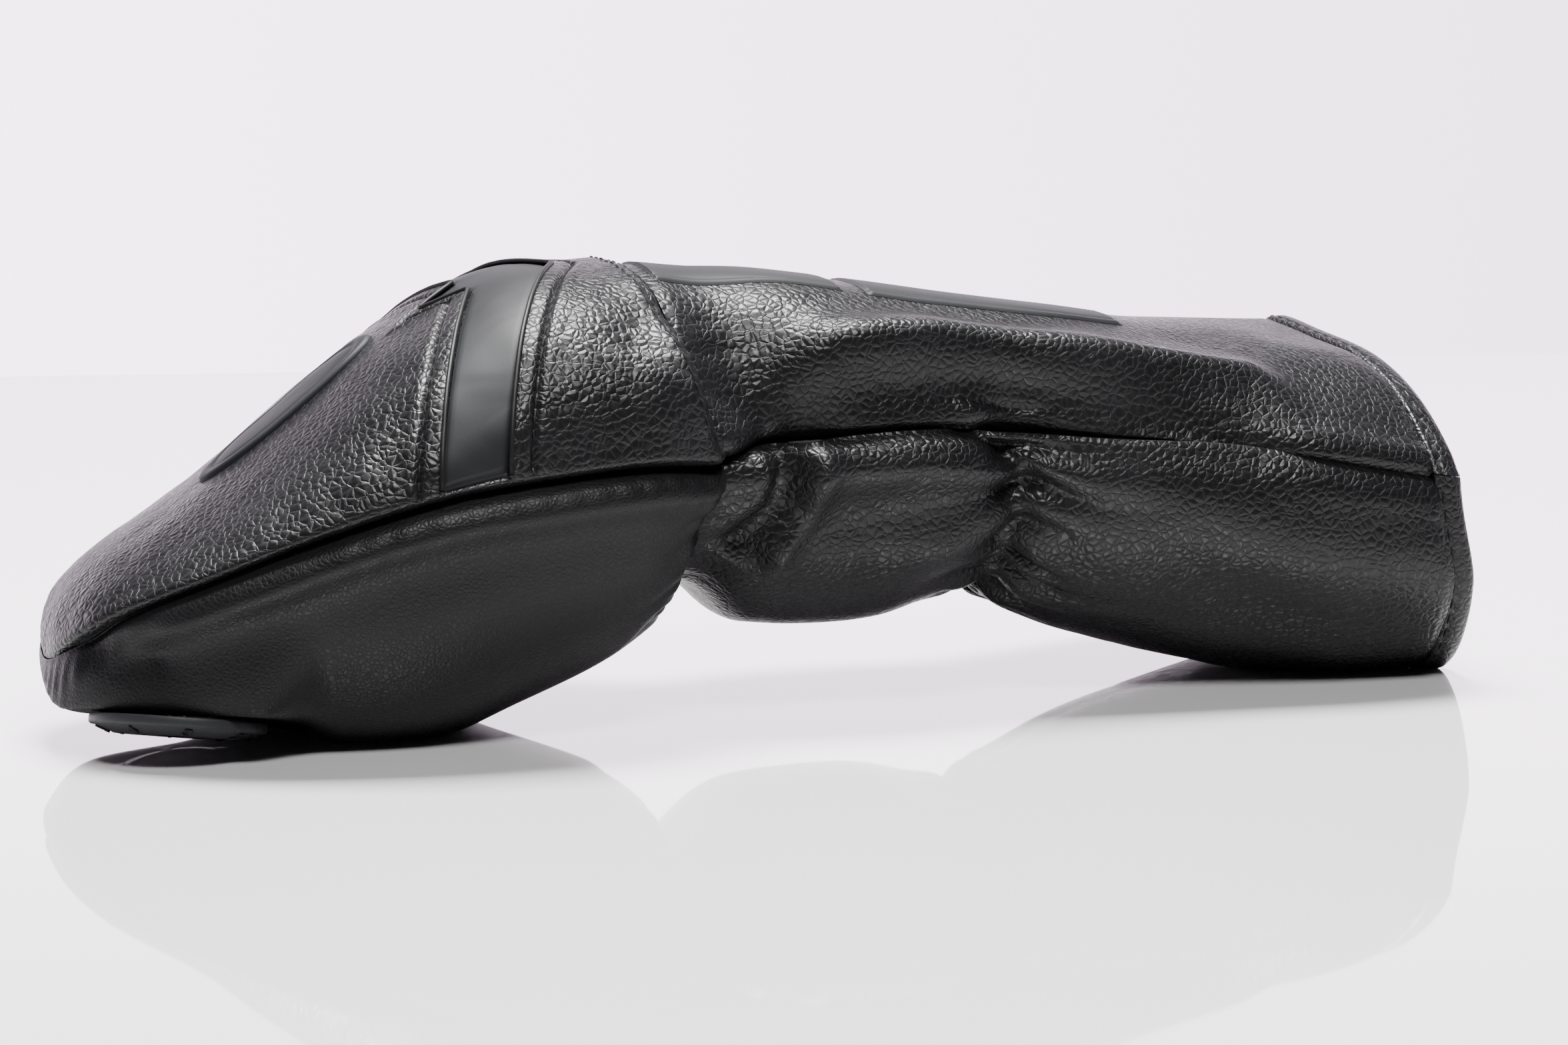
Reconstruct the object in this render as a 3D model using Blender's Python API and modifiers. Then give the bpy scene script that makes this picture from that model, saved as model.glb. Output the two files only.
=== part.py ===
"""Leather headcover for a hybrid golf club, lying on its underside with the crown up.

The cover is a soft tube. Its closed head pouch is at -X, its elasticated neck in the middle, and its open
mouth at +X. Every panel, foam, lining and elastic is a stretch of one lofted body, so each function below
takes a place on that body:
  s     position along the body, counted in stations, 0 at the toe tip and LAST at the mouth rim
  v     position across one half, 0 on the near side seam (-Y), 0.5 on the middle line, 1 on the far side seam
  half  "top" for the crown side and "under" for the side that rests on the table
Lengths in the functions are millimetres, and they become metres where a mesh is made.
"""

import math

import bmesh
import bpy
import numpy as np
from mathutils import Matrix, Vector

MM = 0.001

# The body's cross-sections, toe to mouth: distance along X, half width, middle Y, height of the side seams,
# highest and lowest point, sideways lean of the top half, and the fullness of the top and under curves
# (2 is an ellipse, more is squarer).
STATIONS = (
    (-141.0, 0.0, 0.0, 17.0, 17.0, 17.0, 0.0, 2.0, 2.0),
    (-139.0, 12.0, 0.0, 20.5, 25.5, 10.0, 0.0, 2.0, 2.1),
    (-131.0, 23.5, 0.0, 28.0, 34.0, 4.5, 0.0, 2.0, 2.2),
    (-114.0, 34.0, 0.0, 36.0, 44.5, 3.0, 0.0, 2.0, 2.3),
    (-93.0, 40.0, 0.0, 44.0, 60.0, -4.0, 0.0, 2.1, 2.3),
    (-73.0, 43.0, 0.0, 49.5, 76.0, -4.2, 0.0, 2.2, 2.3),
    (-53.0, 43.5, 0.0, 52.0, 86.5, 3.0, 0.0, 2.3, 2.2),
    (-34.0, 41.5, 0.0, 53.3, 87.8, 10.5, 0.0, 2.3, 2.1),
    (-19.0, 37.0, 0.0, 52.5, 87.3, 20.5, 0.0, 2.3, 2.0),
    (-3.0, 33.5, 0.0, 55.0, 85.3, 15.8, 0.0, 2.4, 2.1),
    (22.0, 34.0, 0.0, 56.5, 81.7, 15.0, 0.0, 2.4, 2.1),
    (43.0, 33.0, 0.5, 55.0, 78.3, 19.0, 0.0, 2.4, 2.0),
    (64.0, 37.0, 1.5, 53.0, 75.0, 10.5, 2.0, 2.3, 2.1),
    (90.0, 40.5, 3.0, 51.0, 71.0, 3.5, 10.0, 2.0, 2.3),
    (117.0, 42.5, 3.5, 46.5, 69.0, -3.0, 22.0, 1.7, 2.5),
    (141.0, 42.0, 3.5, 42.5, 67.0, -4.0, 34.0, 1.4, 2.6),
)
LAST = len(STATIONS) - 1
SIDE_SHIFT = -2.33  # moves the body along Y, so that the frame's origin is under the middle of the whole part
LEAN_CURVE = 1.2  # how late the top half's lean sets in on the way up from its seam
RIM_RAKE = 0.1  # how far the mouth plane leans back for each millimetre of height
RAKE_START, RAKE_END = 60.0, 141.0  # the stretch along X over which the sections turn parallel to the mouth
FLOOR_BLEND = 1.5  # how softly the body turns from its curve into the flat that lies on the table

# Layers, as depths below the outer surface
SEAM_GAP = 0.7
SEAM_GAP_FADE = 0.9  # the share of the way from a side seam to the middle line over which its gap fades out
LAYER_GAP = 0.5
LEATHER = 1.2
HEAD_FOAM = 3.0
NECK_FOAM = 1.5
LINING = 2.0
ELASTIC = 1.2
APPLIQUE = 0.8
APPLIQUE_CLEARANCE = 0.4

# Seams and bands along the body, in stations
SIDE_SEAM_CROSS = 8.2  # where the heel seam and the waist seam meet the side seams
HEEL_SEAM_DIP = 0.7  # how far the heel seam bows towards the toe over the crown
WAIST_SEAM_DIP = 0.45  # the same for the waist seam under the body
FOAM_TOE, LINING_TOE = 0.5, 0.8  # where the toes of the inner layers close
NOSE_STATIONS = 3.0  # how far from the toe an inner layer is drawn in along X
TINY = 0.001
NECK_ELASTIC_S = 11.0
ELASTIC_WIDTH = 8.0
ELASTIC_END = 0.03  # the elastics stop at this v, short of the side seams
HEM_WIDTH = 6.0
STRIP_SIDE = 0.41  # the neck strips run from this v to its mirror image
STRIP_FRONT = (7.62, 9.72)
STRIP_REAR = (9.92, 12.6)

# The arrow-shaped window in the crown, and its inlay, in plan
ARROW_POINT_X = -40.5  # the arrow's outer point, towards the mouth
ARROW_NOTCH_X = -56.6  # where the inner edges of its arms would meet
ARROW_OUTER_SLOPE = 0.50  # how far each arm sweeps to the toe for each millimetre sideways
ARROW_INNER_SLOPE = 0.44
ARROW_REACH = 46.0
TOOTH_HALF_WIDTH = 5.0
TOOTH_TIP_X = -68.0
WINDOW_BOTTOM = 54.0
WINDOW_TOP = 95.0
INLAY_CLEARANCE = 0.35

# Raised patch on the toe slope of the crown
PATCH_X, PATCH_Y = -92.0, 7.0
PATCH_LENGTH, PATCH_WIDTH = 34.0, 15.0

# Club-number dial under the toe. Its stack is measured outwards from the leather, along the dial's axis.
SEAT_CENTRE = (-119.3, -16.5, 7.3)
DIAL_TILT_SIDE = 11.0  # degrees from straight down, towards the near side
DIAL_TILT_TOE = 8.0  # degrees from straight down, towards the toe
SEAT_FLAT, SEAT_FADE = 20.5, 31.0  # radii of the flat seat that the dial presses into the sole, and of its fade
SEAT_REACH = 8.0  # how far from the seat's plane the leather still follows it
SEAT_FREE, SEAT_HELD = 0.15, 0.55  # the seat fades out between these shares of the way down from the seams
SEAT_GAP = 0.3
BASE_RADIUS = 16.5
BASE_FLOOR = 0.7
BASE_LIP = 2.0
DIAL_RADIUS = 15.4
DIAL_FACE_RADIUS = 13.2
DIAL_BACK = 1.5
DIAL_FACE = 3.2
DIAL_DOME = 0.3
ROUND_CLEARANCE = 0.3
RIVET_SHANK = 1.8
RIVET_HEAD_RADIUS, RIVET_HEAD = 3.8, 0.8
RIVET_END_RADIUS, RIVET_END = 2.9, 0.8
WASHER_RADIUS, WASHER = 6.5, 0.8
SPRING_RADIUS, SPRING, SPRING_WAVE, SPRING_WAVES = 6.0, 0.2, 0.08, 3
WASHER_POCKET = 8.0

# Facets. Every layer shares the same lines along and across the body, so that their flats lie parallel.
ROWS = 10  # across one half of the body
COLUMN = 0.5  # stations from one line to the next
LINE_MARGIN = 0.1  # no shared line comes nearer to a seam than this
TURN_STEPS = 32

LEATHER_BLACK = (0.012, 0.012, 0.013)
SOLE_BLACK = (0.014, 0.014, 0.015)
INLAY_GREY = (0.035, 0.036, 0.038)
FOAM_GREY = (0.25, 0.25, 0.26)
PLUSH_GREY = (0.05, 0.05, 0.055)
ELASTIC_WHITE = (0.6, 0.6, 0.58)
DIAL_GREY = (0.045, 0.047, 0.05)
STEEL = (0.55, 0.55, 0.56)


# ---------------------------------------------------------------- the body

def stations_at(s):
    """The station values at s, on a smooth curve through the table, one column for each value."""
    table = np.array(STATIONS)
    mirror = table[1].copy()
    mirror[1] = -table[1][1]
    mirror[4], mirror[5] = table[1][5], table[1][4]
    table = np.vstack([mirror, table, 2 * table[-1] - table[-2]])
    i = np.clip(np.floor(s).astype(int), 0, LAST - 1)
    t = (s - i)[:, None]
    before, start, end, after = table[i], table[i + 1], table[i + 2], table[i + 3]
    return 0.5 * (
        2 * start
        + (end - before) * t
        + (2 * before - 5 * start + 4 * end - after) * t**2
        + (3 * start - before - 3 * end + after) * t**3
    )


def on_floor(z):
    """Height with everything below the table brought up to it, with a soft turn."""
    turn = (z + FLOOR_BLEND) ** 2 / (4 * FLOOR_BLEND)
    return np.where(z > FLOOR_BLEND, z, np.where(z < -FLOOR_BLEND, 0.0, turn))


def smooth_step(x):
    x = np.clip(x, 0.0, 1.0)
    return x * x * (3 - 2 * x)


def dial_axis():
    """The dial's outward direction, and the point of its axis on the leather."""
    side, toe = math.radians(DIAL_TILT_SIDE), math.radians(DIAL_TILT_TOE)
    axis = np.array([-math.tan(toe), -math.tan(side), -1.0])
    return axis / np.linalg.norm(axis), np.array(SEAT_CENTRE) + np.array([0.0, SIDE_SHIFT, 0.0])


def press_seat(points, depth, down):
    """Flattens the sole behind the dial, so that the dial's base lies on it.

    Each point has its share of the way down from the side seam, because the seams themselves stay in place.
    """
    axis, seat = dial_axis()
    away = points - seat
    height = away @ axis
    radius = np.linalg.norm(away - height[:, None] * axis, axis=1)
    height = height + depth
    share = 1 - smooth_step((radius - SEAT_FLAT) / (SEAT_FADE - SEAT_FLAT))
    share *= 1 - smooth_step((np.abs(height) - SEAT_REACH) / (2 * SEAT_REACH))
    share *= smooth_step((down - SEAT_FREE) / (SEAT_HELD - SEAT_FREE))
    return points - (height * share)[:, None] * axis


def surface(s, v, half, depth=0.0):
    """Points at a depth below the outer surface, in the part's frame.

    A deeper layer's cross-sections are the outer ones shrunk about their middle, and its toe is drawn in.
    """
    x, width, middle, seam, top, bottom, lean, full_top, full_under = stations_at(s).T
    full = full_top if half == "top" else full_under
    cosine, sine = np.cos(np.pi * v), np.abs(np.sin(np.pi * v))
    up = sine ** (2 / full)
    side = -width * np.sign(cosine) * np.abs(cosine) ** (2 / full)
    if half == "top":
        side = side + lean * up**LEAN_CURVE
        z = seam + (top - seam) * up
    else:
        z = on_floor(seam + (bottom - seam) * up)
    low = on_floor(bottom)
    centre = (top + low) / 2
    z = centre + (z - centre) * (1 - 2 * depth / np.maximum(top - low, TINY))
    y = middle + side * (1 - depth / np.maximum(width, TINY)) + SIDE_SHIFT
    z = z + (1 if half == "top" else -1) * SEAM_GAP / 2 * np.clip(1 - up / SEAM_GAP_FADE, 0, 1)
    x = x + depth * np.clip(1 - s / NOSE_STATIONS, 0, 1)
    rake = smooth_step((x - RAKE_START) / (RAKE_END - RAKE_START))
    points = np.stack([x - RIM_RAKE * rake * z, y, z], axis=1)
    return press_seat(points, depth, up) if half == "under" else points


def heel_seam(v):
    return SIDE_SEAM_CROSS - HEEL_SEAM_DIP * np.sin(np.pi * v) ** 0.6


def waist_seam(v):
    return SIDE_SEAM_CROSS - WAIST_SEAM_DIP * np.sin(np.pi * v) ** 0.8


def stations_for(length, near):
    """How many stations a length in millimetres takes up, near station s."""
    step = 0.5
    ends = stations_at(np.array([near - step, near + step - 1e-6]))[:, 0]
    return length * 2 * step / (ends[1] - ends[0])


# ---------------------------------------------------------------- making objects

def material(name, colour, roughness, metallic=0.0):
    made = bpy.data.materials.new(name)
    made.use_nodes = True
    shader = made.node_tree.nodes["Principled BSDF"]
    shader.inputs["Base Color"].default_value = (*colour, 1.0)
    shader.inputs["Roughness"].default_value = roughness
    shader.inputs["Metallic"].default_value = metallic
    return made


def new_object(name, mesh, collection, finish=None):
    obj = bpy.data.objects.new(name, mesh)
    collection.objects.link(obj)
    if finish:
        mesh.materials.append(finish)
        mesh.shade_smooth()
        mesh.set_sharp_from_angle(angle=math.radians(35))
    return obj


def column_lines(start, end, v):
    """Lines across the body from one seam to another: the shared ones between them, and a bent one at each end."""
    first, last = start(v), end(v)
    low = math.ceil((float(first.max()) + LINE_MARGIN) / COLUMN)
    high = math.floor((float(last.min()) - LINE_MARGIN) / COLUMN)
    lines = [first, *[np.full_like(v, k * COLUMN) for k in range(low, high + 1)], last]
    if np.ptp(first) > 0:
        lines.insert(1, (lines[0] + lines[1]) / 2)
    if np.ptp(last) > 0:
        lines.insert(-1, (lines[-2] + lines[-1]) / 2)
    return lines


def toe_point(line, rows, depth, half):
    """The middle of the body at a line near the toe, repeated for each row, to close an inner layer's toe."""
    seam_ends = surface(line[[0, -1]], np.array([0.0, 1.0]), half, depth)
    return np.repeat(seam_ends.mean(axis=0)[None], len(rows), axis=0)


def shell(name, half, start, end, depth, thickness, finish, rows):
    """A closed wall over one half of the body, between two seams that are functions of v.

    Its two faces are lofts at two depths, joined by a rim.
    """
    mesh = bpy.data.meshes.new(name)
    bm = bmesh.new()
    lines = column_lines(start, end, rows)
    outer, inner = [], []
    for face, d in ((outer, depth), (inner, depth + thickness)):
        grid = [surface(line, rows, half, d) for line in lines]
        if lines[0].max() < 1:
            grid[0] = toe_point(lines[0], rows, d, half)
        face.extend([bm.verts.new(Vector(p) * MM) for p in line] for line in grid)
    for face in (outer, inner):
        for left, right in zip(face, face[1:]):
            for k in range(len(rows) - 1):
                bm.faces.new((left[k], right[k], right[k + 1], left[k + 1]))
    border = [(c, 0) for c in range(len(lines))]
    border += [(len(lines) - 1, k) for k in range(1, len(rows))]
    border += [(c, len(rows) - 1) for c in range(len(lines) - 2, -1, -1)]
    border += [(0, k) for k in range(len(rows) - 2, 0, -1)]
    for (c, k), (next_c, next_k) in zip(border, border[1:] + border[:1]):
        bm.faces.new((outer[c][k], outer[next_c][next_k], inner[next_c][next_k], inner[c][k]))
    bmesh.ops.remove_doubles(bm, verts=bm.verts, dist=0.01 * MM)
    bmesh.ops.recalc_face_normals(bm, faces=bm.faces)
    bm.to_mesh(mesh)
    bm.free()
    return new_object(name, mesh, parts, finish)


def prism(name, outline, low, high):
    """A cutter: an outline in plan, pulled up from one height to another."""
    mesh = bpy.data.meshes.new(name)
    bm = bmesh.new()
    base = bm.faces.new([bm.verts.new((x * MM, (y + SIDE_SHIFT) * MM, low * MM)) for x, y in outline])
    pulled = bmesh.ops.extrude_face_region(bm, geom=[base])["geom"]
    moved = [g for g in pulled if isinstance(g, bmesh.types.BMVert)]
    bmesh.ops.translate(bm, verts=moved, vec=(0, 0, (high - low) * MM))
    bmesh.ops.recalc_face_normals(bm, faces=bm.faces)
    bm.to_mesh(mesh)
    bm.free()
    return as_cutter(new_object(name, mesh, cutters))


def as_cutter(obj):
    obj.hide_render = True
    obj.display_type = "WIRE"
    return obj


def cut(obj, cutter, operation="DIFFERENCE"):
    boolean = obj.modifiers.new(cutter.name, "BOOLEAN")
    boolean.operation = operation
    boolean.object = cutter


def turned(name, profile, finish, holder):
    """A solid of revolution about its local Z, from a closed profile of (radius, height)."""
    mesh = bpy.data.meshes.new(name)
    bm = bmesh.new()
    points = [bm.verts.new((r * MM, 0, z * MM)) for r, z in profile]
    closed = profile[0][0] > 0
    for first, second in zip(points, points[1:] + points[:1] if closed else points[1:]):
        bm.edges.new((first, second))
    bm.to_mesh(mesh)
    bm.free()
    obj = new_object(name, mesh, parts)
    spin = obj.modifiers.new("Spin", "SCREW")
    spin.steps = TURN_STEPS
    spin.render_steps = TURN_STEPS
    spin.use_merge_vertices = True
    spin.merge_threshold = 0.00001
    spin.use_smooth_shade = True
    mesh.materials.append(finish)
    obj.parent = holder
    return obj


# ---------------------------------------------------------------- panels, foams and linings

ALL_ROWS = np.linspace(0, 1, ROWS + 1)


def constant(s):
    return lambda v: np.full_like(v, s)


def shifted(seam, by):
    return lambda v: seam(v) + by


def make_outer_panels(leather, sole_leather):
    gap = stations_for(SEAM_GAP, SIDE_SEAM_CROSS) / 2
    hem = LAST - stations_for(HEM_WIDTH, LAST - 0.5)
    hem_gap = stations_for(SEAM_GAP, LAST - 0.5)
    toe = constant(0.0)
    crown = shell("crown_panel", "top", toe, shifted(heel_seam, -gap), 0.0, LEATHER, leather, ALL_ROWS)
    sole = shell("sole_panel", "under", toe, shifted(waist_seam, -gap), 0.0, LEATHER, sole_leather, ALL_ROWS)
    end = constant(hem - hem_gap)
    shell("neck_top_panel", "top", shifted(heel_seam, gap), end, 0.0, LEATHER, leather, ALL_ROWS)
    shell("neck_under_panel", "under", shifted(waist_seam, gap), end, 0.0, LEATHER, leather, ALL_ROWS)
    return crown, sole


def make_soft_layers(foam, plush, elastic):
    """Foam and lining. The foams stop short of the seams, where the real ones are trimmed back."""
    below_leather = LEATHER + LAYER_GAP
    head_lining = below_leather + HEAD_FOAM + LAYER_GAP
    neck_lining = below_leather + NECK_FOAM + LAYER_GAP
    gap = stations_for(SEAM_GAP, SIDE_SEAM_CROSS) / 2
    rim_trim = stations_for(LEATHER + 2 * LAYER_GAP, LAST - 0.5)
    hem = LAST - stations_for(HEM_WIDTH + SEAM_GAP + LAYER_GAP, LAST - 0.5)
    foam_toe, lining_toe = constant(FOAM_TOE), constant(LINING_TOE)
    end_top, end_under = shifted(heel_seam, -gap), shifted(waist_seam, -gap)
    shell("crown_foam", "top", foam_toe, end_top, below_leather, HEAD_FOAM, foam, ALL_ROWS)
    sole_foam = shell("sole_foam", "under", foam_toe, end_under, below_leather, HEAD_FOAM, foam, ALL_ROWS)
    shell("crown_lining", "top", lining_toe, end_top, head_lining, LINING, plush, ALL_ROWS)
    shell("sole_lining", "under", lining_toe, end_under, head_lining, LINING, plush, ALL_ROWS)
    start_top, start_under = shifted(heel_seam, gap), shifted(waist_seam, gap)
    shell("neck_top_foam", "top", start_top, constant(LAST - rim_trim), below_leather, NECK_FOAM, foam,
          ALL_ROWS)
    shell("neck_top_lining", "top", start_top, constant(hem), neck_lining, LINING, plush, ALL_ROWS)
    shell("neck_under_lining", "under", start_under, constant(hem), neck_lining, LINING, plush, ALL_ROWS)
    wide = stations_for(ELASTIC_WIDTH, SIDE_SEAM_CROSS + 0.4)
    elastic_rows = np.clip(ALL_ROWS, ELASTIC_END, 1 - ELASTIC_END)
    shell("waist_elastic", "under", start_under, shifted(start_under, wide), below_leather, ELASTIC,
          elastic, elastic_rows)
    half_wide = stations_for(ELASTIC_WIDTH, NECK_ELASTIC_S) / 2
    shell("neck_elastic", "under", constant(NECK_ELASTIC_S - half_wide), constant(NECK_ELASTIC_S + half_wide),
          below_leather, ELASTIC, elastic, elastic_rows)
    return sole_foam


def make_hem(name, half, leather):
    """The folded strip round the mouth edge: an outer leg, the flat rim and an inner leg."""
    outer_start = LAST - stations_for(HEM_WIDTH, LAST - 0.5)
    rim = stations_for(LEATHER, LAST - 0.5)
    inner_face = LEATHER + LAYER_GAP + NECK_FOAM + LAYER_GAP + LINING
    section = (
        (outer_start, 0.0),
        (LAST, 0.0),
        (LAST, inner_face),
        (outer_start, inner_face),
        (outer_start, inner_face - LEATHER),
        (LAST - rim, inner_face - LEATHER),
        (LAST - rim, LEATHER),
        (outer_start, LEATHER),
    )
    v = np.linspace(0, 1, ROWS + 1)
    lines = [surface(np.full_like(v, s), v, half, depth) for s, depth in section]
    mesh = bpy.data.meshes.new(name)
    bm = bmesh.new()
    grid = [[bm.verts.new(Vector(p) * MM) for p in line] for line in lines]
    for left, right in zip(grid, grid[1:] + grid[:1]):
        for k in range(ROWS):
            bm.faces.new((left[k], right[k], right[k + 1], left[k + 1]))
    for k in (0, ROWS):
        bm.faces.new([line[k] for line in grid])
    bmesh.ops.recalc_face_normals(bm, faces=bm.faces)
    bm.to_mesh(mesh)
    bm.free()
    return new_object(name, mesh, parts, leather)


# ---------------------------------------------------------------- inlay, patch and strips

def arrow_outline(inset):
    """The arrow in plan, drawn in by an inset on every edge."""
    point = ARROW_POINT_X - inset * math.hypot(1, ARROW_OUTER_SLOPE)
    notch = ARROW_NOTCH_X + inset * math.hypot(1, ARROW_INNER_SLOPE)
    tooth_base = TOOTH_HALF_WIDTH - inset
    tooth_slope = (TOOTH_TIP_X - ARROW_NOTCH_X) / TOOTH_HALF_WIDTH
    tip = TOOTH_TIP_X + inset * math.hypot(1, tooth_slope)
    outer_end = point - ARROW_OUTER_SLOPE * ARROW_REACH
    inner_end = notch - ARROW_INNER_SLOPE * ARROW_REACH
    inner_corner = notch - ARROW_INNER_SLOPE * tooth_base
    side = [
        (outer_end, ARROW_REACH),
        (inner_end, ARROW_REACH),
        (inner_corner, tooth_base),
    ]
    mirrored = [(x, -y) for x, y in reversed(side)]
    return [(point, 0.0), *side, (tip, 0.0), *mirrored]


def make_inlay(crown, inlay_pu):
    cut(crown, prism("arrow_window_cutter", arrow_outline(0.0), WINDOW_BOTTOM, WINDOW_TOP))
    inlay = shell("crown_inlay", "top", constant(4.0), constant(7.0), 0.2, LEATHER - 0.2, inlay_pu, ALL_ROWS)
    outline = arrow_outline(INLAY_CLEARANCE)
    limit = prism("arrow_inlay_limit", outline, WINDOW_BOTTOM + INLAY_CLEARANCE, WINDOW_TOP)
    cut(inlay, limit, "INTERSECT")


def rounded_outline(x, y, length, width, steps=6):
    """A strip with half-round ends, in plan."""
    radius = width / 2
    reach = length / 2 - radius
    turns = [k * math.pi / steps - math.pi / 2 for k in range(steps + 1)]
    right = [(x + reach + radius * math.cos(a), y + radius * math.sin(a)) for a in turns]
    left = [(x - reach - radius * math.cos(a), y - radius * math.sin(a)) for a in turns]
    return right + left


def make_toe_patch(inlay_pu):
    depth = -APPLIQUE - APPLIQUE_CLEARANCE
    patch = shell("toe_patch", "top", constant(3.0), constant(6.0), depth, APPLIQUE, inlay_pu, ALL_ROWS)
    outline = rounded_outline(PATCH_X, PATCH_Y, PATCH_LENGTH, PATCH_WIDTH)
    cut(patch, prism("toe_patch_limit", outline, 30.0, WINDOW_TOP), "INTERSECT")


def make_strips(inlay_pu):
    depth = -APPLIQUE - APPLIQUE_CLEARANCE
    rows = np.linspace(STRIP_SIDE, 1 - STRIP_SIDE, 5)
    for name, (start, end) in (("neck_strip_front", STRIP_FRONT), ("neck_strip_rear", STRIP_REAR)):
        shell(name, "top", constant(start), constant(end), depth, APPLIQUE, inlay_pu, rows)


# ---------------------------------------------------------------- number dial

def dial_holder():
    """An empty on the leather, with its Z along the dial's axis, outwards."""
    axis, seat = dial_axis()
    holder = bpy.data.objects.new("dial_axis", None)
    parts.objects.link(holder)
    turn = Vector(axis).to_track_quat("Z", "Y").to_matrix().to_4x4()
    holder.matrix_world = Matrix.Translation(Vector(seat) * MM) @ turn
    return holder


def make_dial(holder, dial_plastic, base_plastic, steel):
    """The base, the turning dial, and the rivet that goes through both and the sole, with its washers."""
    floor = SEAT_GAP + BASE_FLOOR
    lip = SEAT_GAP + BASE_LIP
    bore = RIVET_SHANK + ROUND_CLEARANCE
    lip_inside = DIAL_RADIUS + ROUND_CLEARANCE
    turned("dial_base", [
        (BASE_RADIUS - 0.4, lip),
        (BASE_RADIUS, lip - 0.4),
        (BASE_RADIUS, SEAT_GAP),
        (bore, SEAT_GAP),
        (bore, floor),
        (lip_inside, floor),
        (lip_inside, lip),
    ], base_plastic, holder)
    face, back = SEAT_GAP + DIAL_FACE, SEAT_GAP + DIAL_BACK
    well = RIVET_HEAD_RADIUS + ROUND_CLEARANCE
    well_floor = face - RIVET_HEAD - ROUND_CLEARANCE
    turned("number_dial", [
        (DIAL_FACE_RADIUS * 0.6, face + DIAL_DOME * 0.7),
        (DIAL_FACE_RADIUS, face),
        (DIAL_RADIUS, lip),
        (DIAL_RADIUS, back),
        (bore, back),
        (bore, well_floor),
        (well, well_floor),
        (well, face + DIAL_DOME),
    ], dial_plastic, holder)
    behind = -LEATHER - LAYER_GAP
    washer_back = behind - WASHER
    end_top = washer_back - 0.1
    turned("dial_rivet", [
        (0, face),
        (RIVET_HEAD_RADIUS * 0.7, face - 0.1),
        (RIVET_HEAD_RADIUS, face - 0.4),
        (RIVET_HEAD_RADIUS, face - RIVET_HEAD),
        (RIVET_SHANK, face - RIVET_HEAD),
        (RIVET_SHANK, end_top),
        (RIVET_END_RADIUS, end_top),
        (RIVET_END_RADIUS, end_top - RIVET_END * 0.6),
        (0, end_top - RIVET_END),
    ], steel, holder)
    turned("rivet_backing_washer", [
        (WASHER_RADIUS, behind),
        (WASHER_RADIUS, washer_back),
        (bore, washer_back),
        (bore, behind),
    ], steel, holder)
    make_spring(bore, (floor + back) / 2, steel, holder)


def make_spring(bore, height, steel, holder):
    """A thin ring whose height waves as it goes round."""
    mesh = bpy.data.meshes.new("dial_spring_washer")
    bm = bmesh.new()
    steps = 12 * SPRING_WAVES
    rings = []
    for radius in (bore + 0.2, SPRING_RADIUS):
        turns = [2 * math.pi * k / steps for k in range(steps)]
        rings.append([
            bm.verts.new(Vector((radius * math.cos(a), radius * math.sin(a),
                                 height + SPRING / 2 + SPRING_WAVE * math.sin(SPRING_WAVES * a))) * MM)
            for a in turns
        ])
    inner, outer = rings
    for k in range(steps):
        after = (k + 1) % steps
        bm.faces.new((inner[k], outer[k], outer[after], inner[after]))
    bm.to_mesh(mesh)
    bm.free()
    obj = new_object("dial_spring_washer", mesh, parts, steel)
    wall = obj.modifiers.new("Wall", "SOLIDIFY")
    wall.thickness = SPRING * MM
    wall.offset = -1.0
    obj.parent = holder


def drill(obj, holder, radius, name):
    """Cuts a round hole along the dial's axis."""
    mesh = bpy.data.meshes.new(name)
    bm = bmesh.new()
    bmesh.ops.create_cone(bm, cap_ends=True, segments=TURN_STEPS, radius1=radius * MM, radius2=radius * MM,
                          depth=16 * MM)
    bm.to_mesh(mesh)
    bm.free()
    cutter = as_cutter(new_object(name, mesh, cutters))
    cutter.parent = holder
    cut(obj, cutter)


# ---------------------------------------------------------------- the part

for old in list(bpy.data.objects):
    bpy.data.objects.remove(old, do_unlink=True)

parts = bpy.data.collections.new("golf_headcover")
cutters = bpy.data.collections.new("cutters")
cutters.hide_render = True
for group in (parts, cutters):
    bpy.context.scene.collection.children.link(group)

pebbled = material("pebbled_leather", LEATHER_BLACK, 0.42)
smooth_sole = material("fine_grain_leather", SOLE_BLACK, 0.45)
matte_inlay = material("matte_inlay", INLAY_GREY, 0.62)
padding = material("foam_padding", FOAM_GREY, 0.95)
lining = material("plush_lining", PLUSH_GREY, 0.95)
gathering = material("elastic_webbing", ELASTIC_WHITE, 0.85)
moulded = material("dial_plastic", DIAL_GREY, 0.55)
moulded_base = material("base_plastic", DIAL_GREY, 0.6)
zinc = material("rivet_steel", STEEL, 0.3, 1.0)

crown_panel, sole_panel = make_outer_panels(pebbled, smooth_sole)
make_inlay(crown_panel, matte_inlay)
make_toe_patch(matte_inlay)
make_strips(matte_inlay)
sole_padding = make_soft_layers(padding, lining, gathering)
make_hem("mouth_hem_top", "top", pebbled)
make_hem("mouth_hem_under", "under", pebbled)
axle = dial_holder()
make_dial(axle, moulded, moulded_base, zinc)
drill(sole_panel, axle, RIVET_SHANK + ROUND_CLEARANCE, "rivet_hole_cutter")
drill(sole_padding, axle, WASHER_POCKET, "washer_pocket_cutter")
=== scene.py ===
"""Looks of the leather golf headcover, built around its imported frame.

Every soft piece is a fine loft of the same body that the frame's panels follow, with seams, rolls,
gathers and folds pushed into it along its normal. Places on the body are (s, v, half):
  s     0 at the toe tip, LAST at the mouth rim
  v     0 on the near side seam (-Y), 0.5 on the middle line, 1 on the far side seam
  half  "top" for the crown side, "under" for the side on the table
Lengths in the functions are millimetres.
"""

import math

import bmesh
import bpy
import numpy as np
from mathutils import Matrix, Vector


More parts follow.
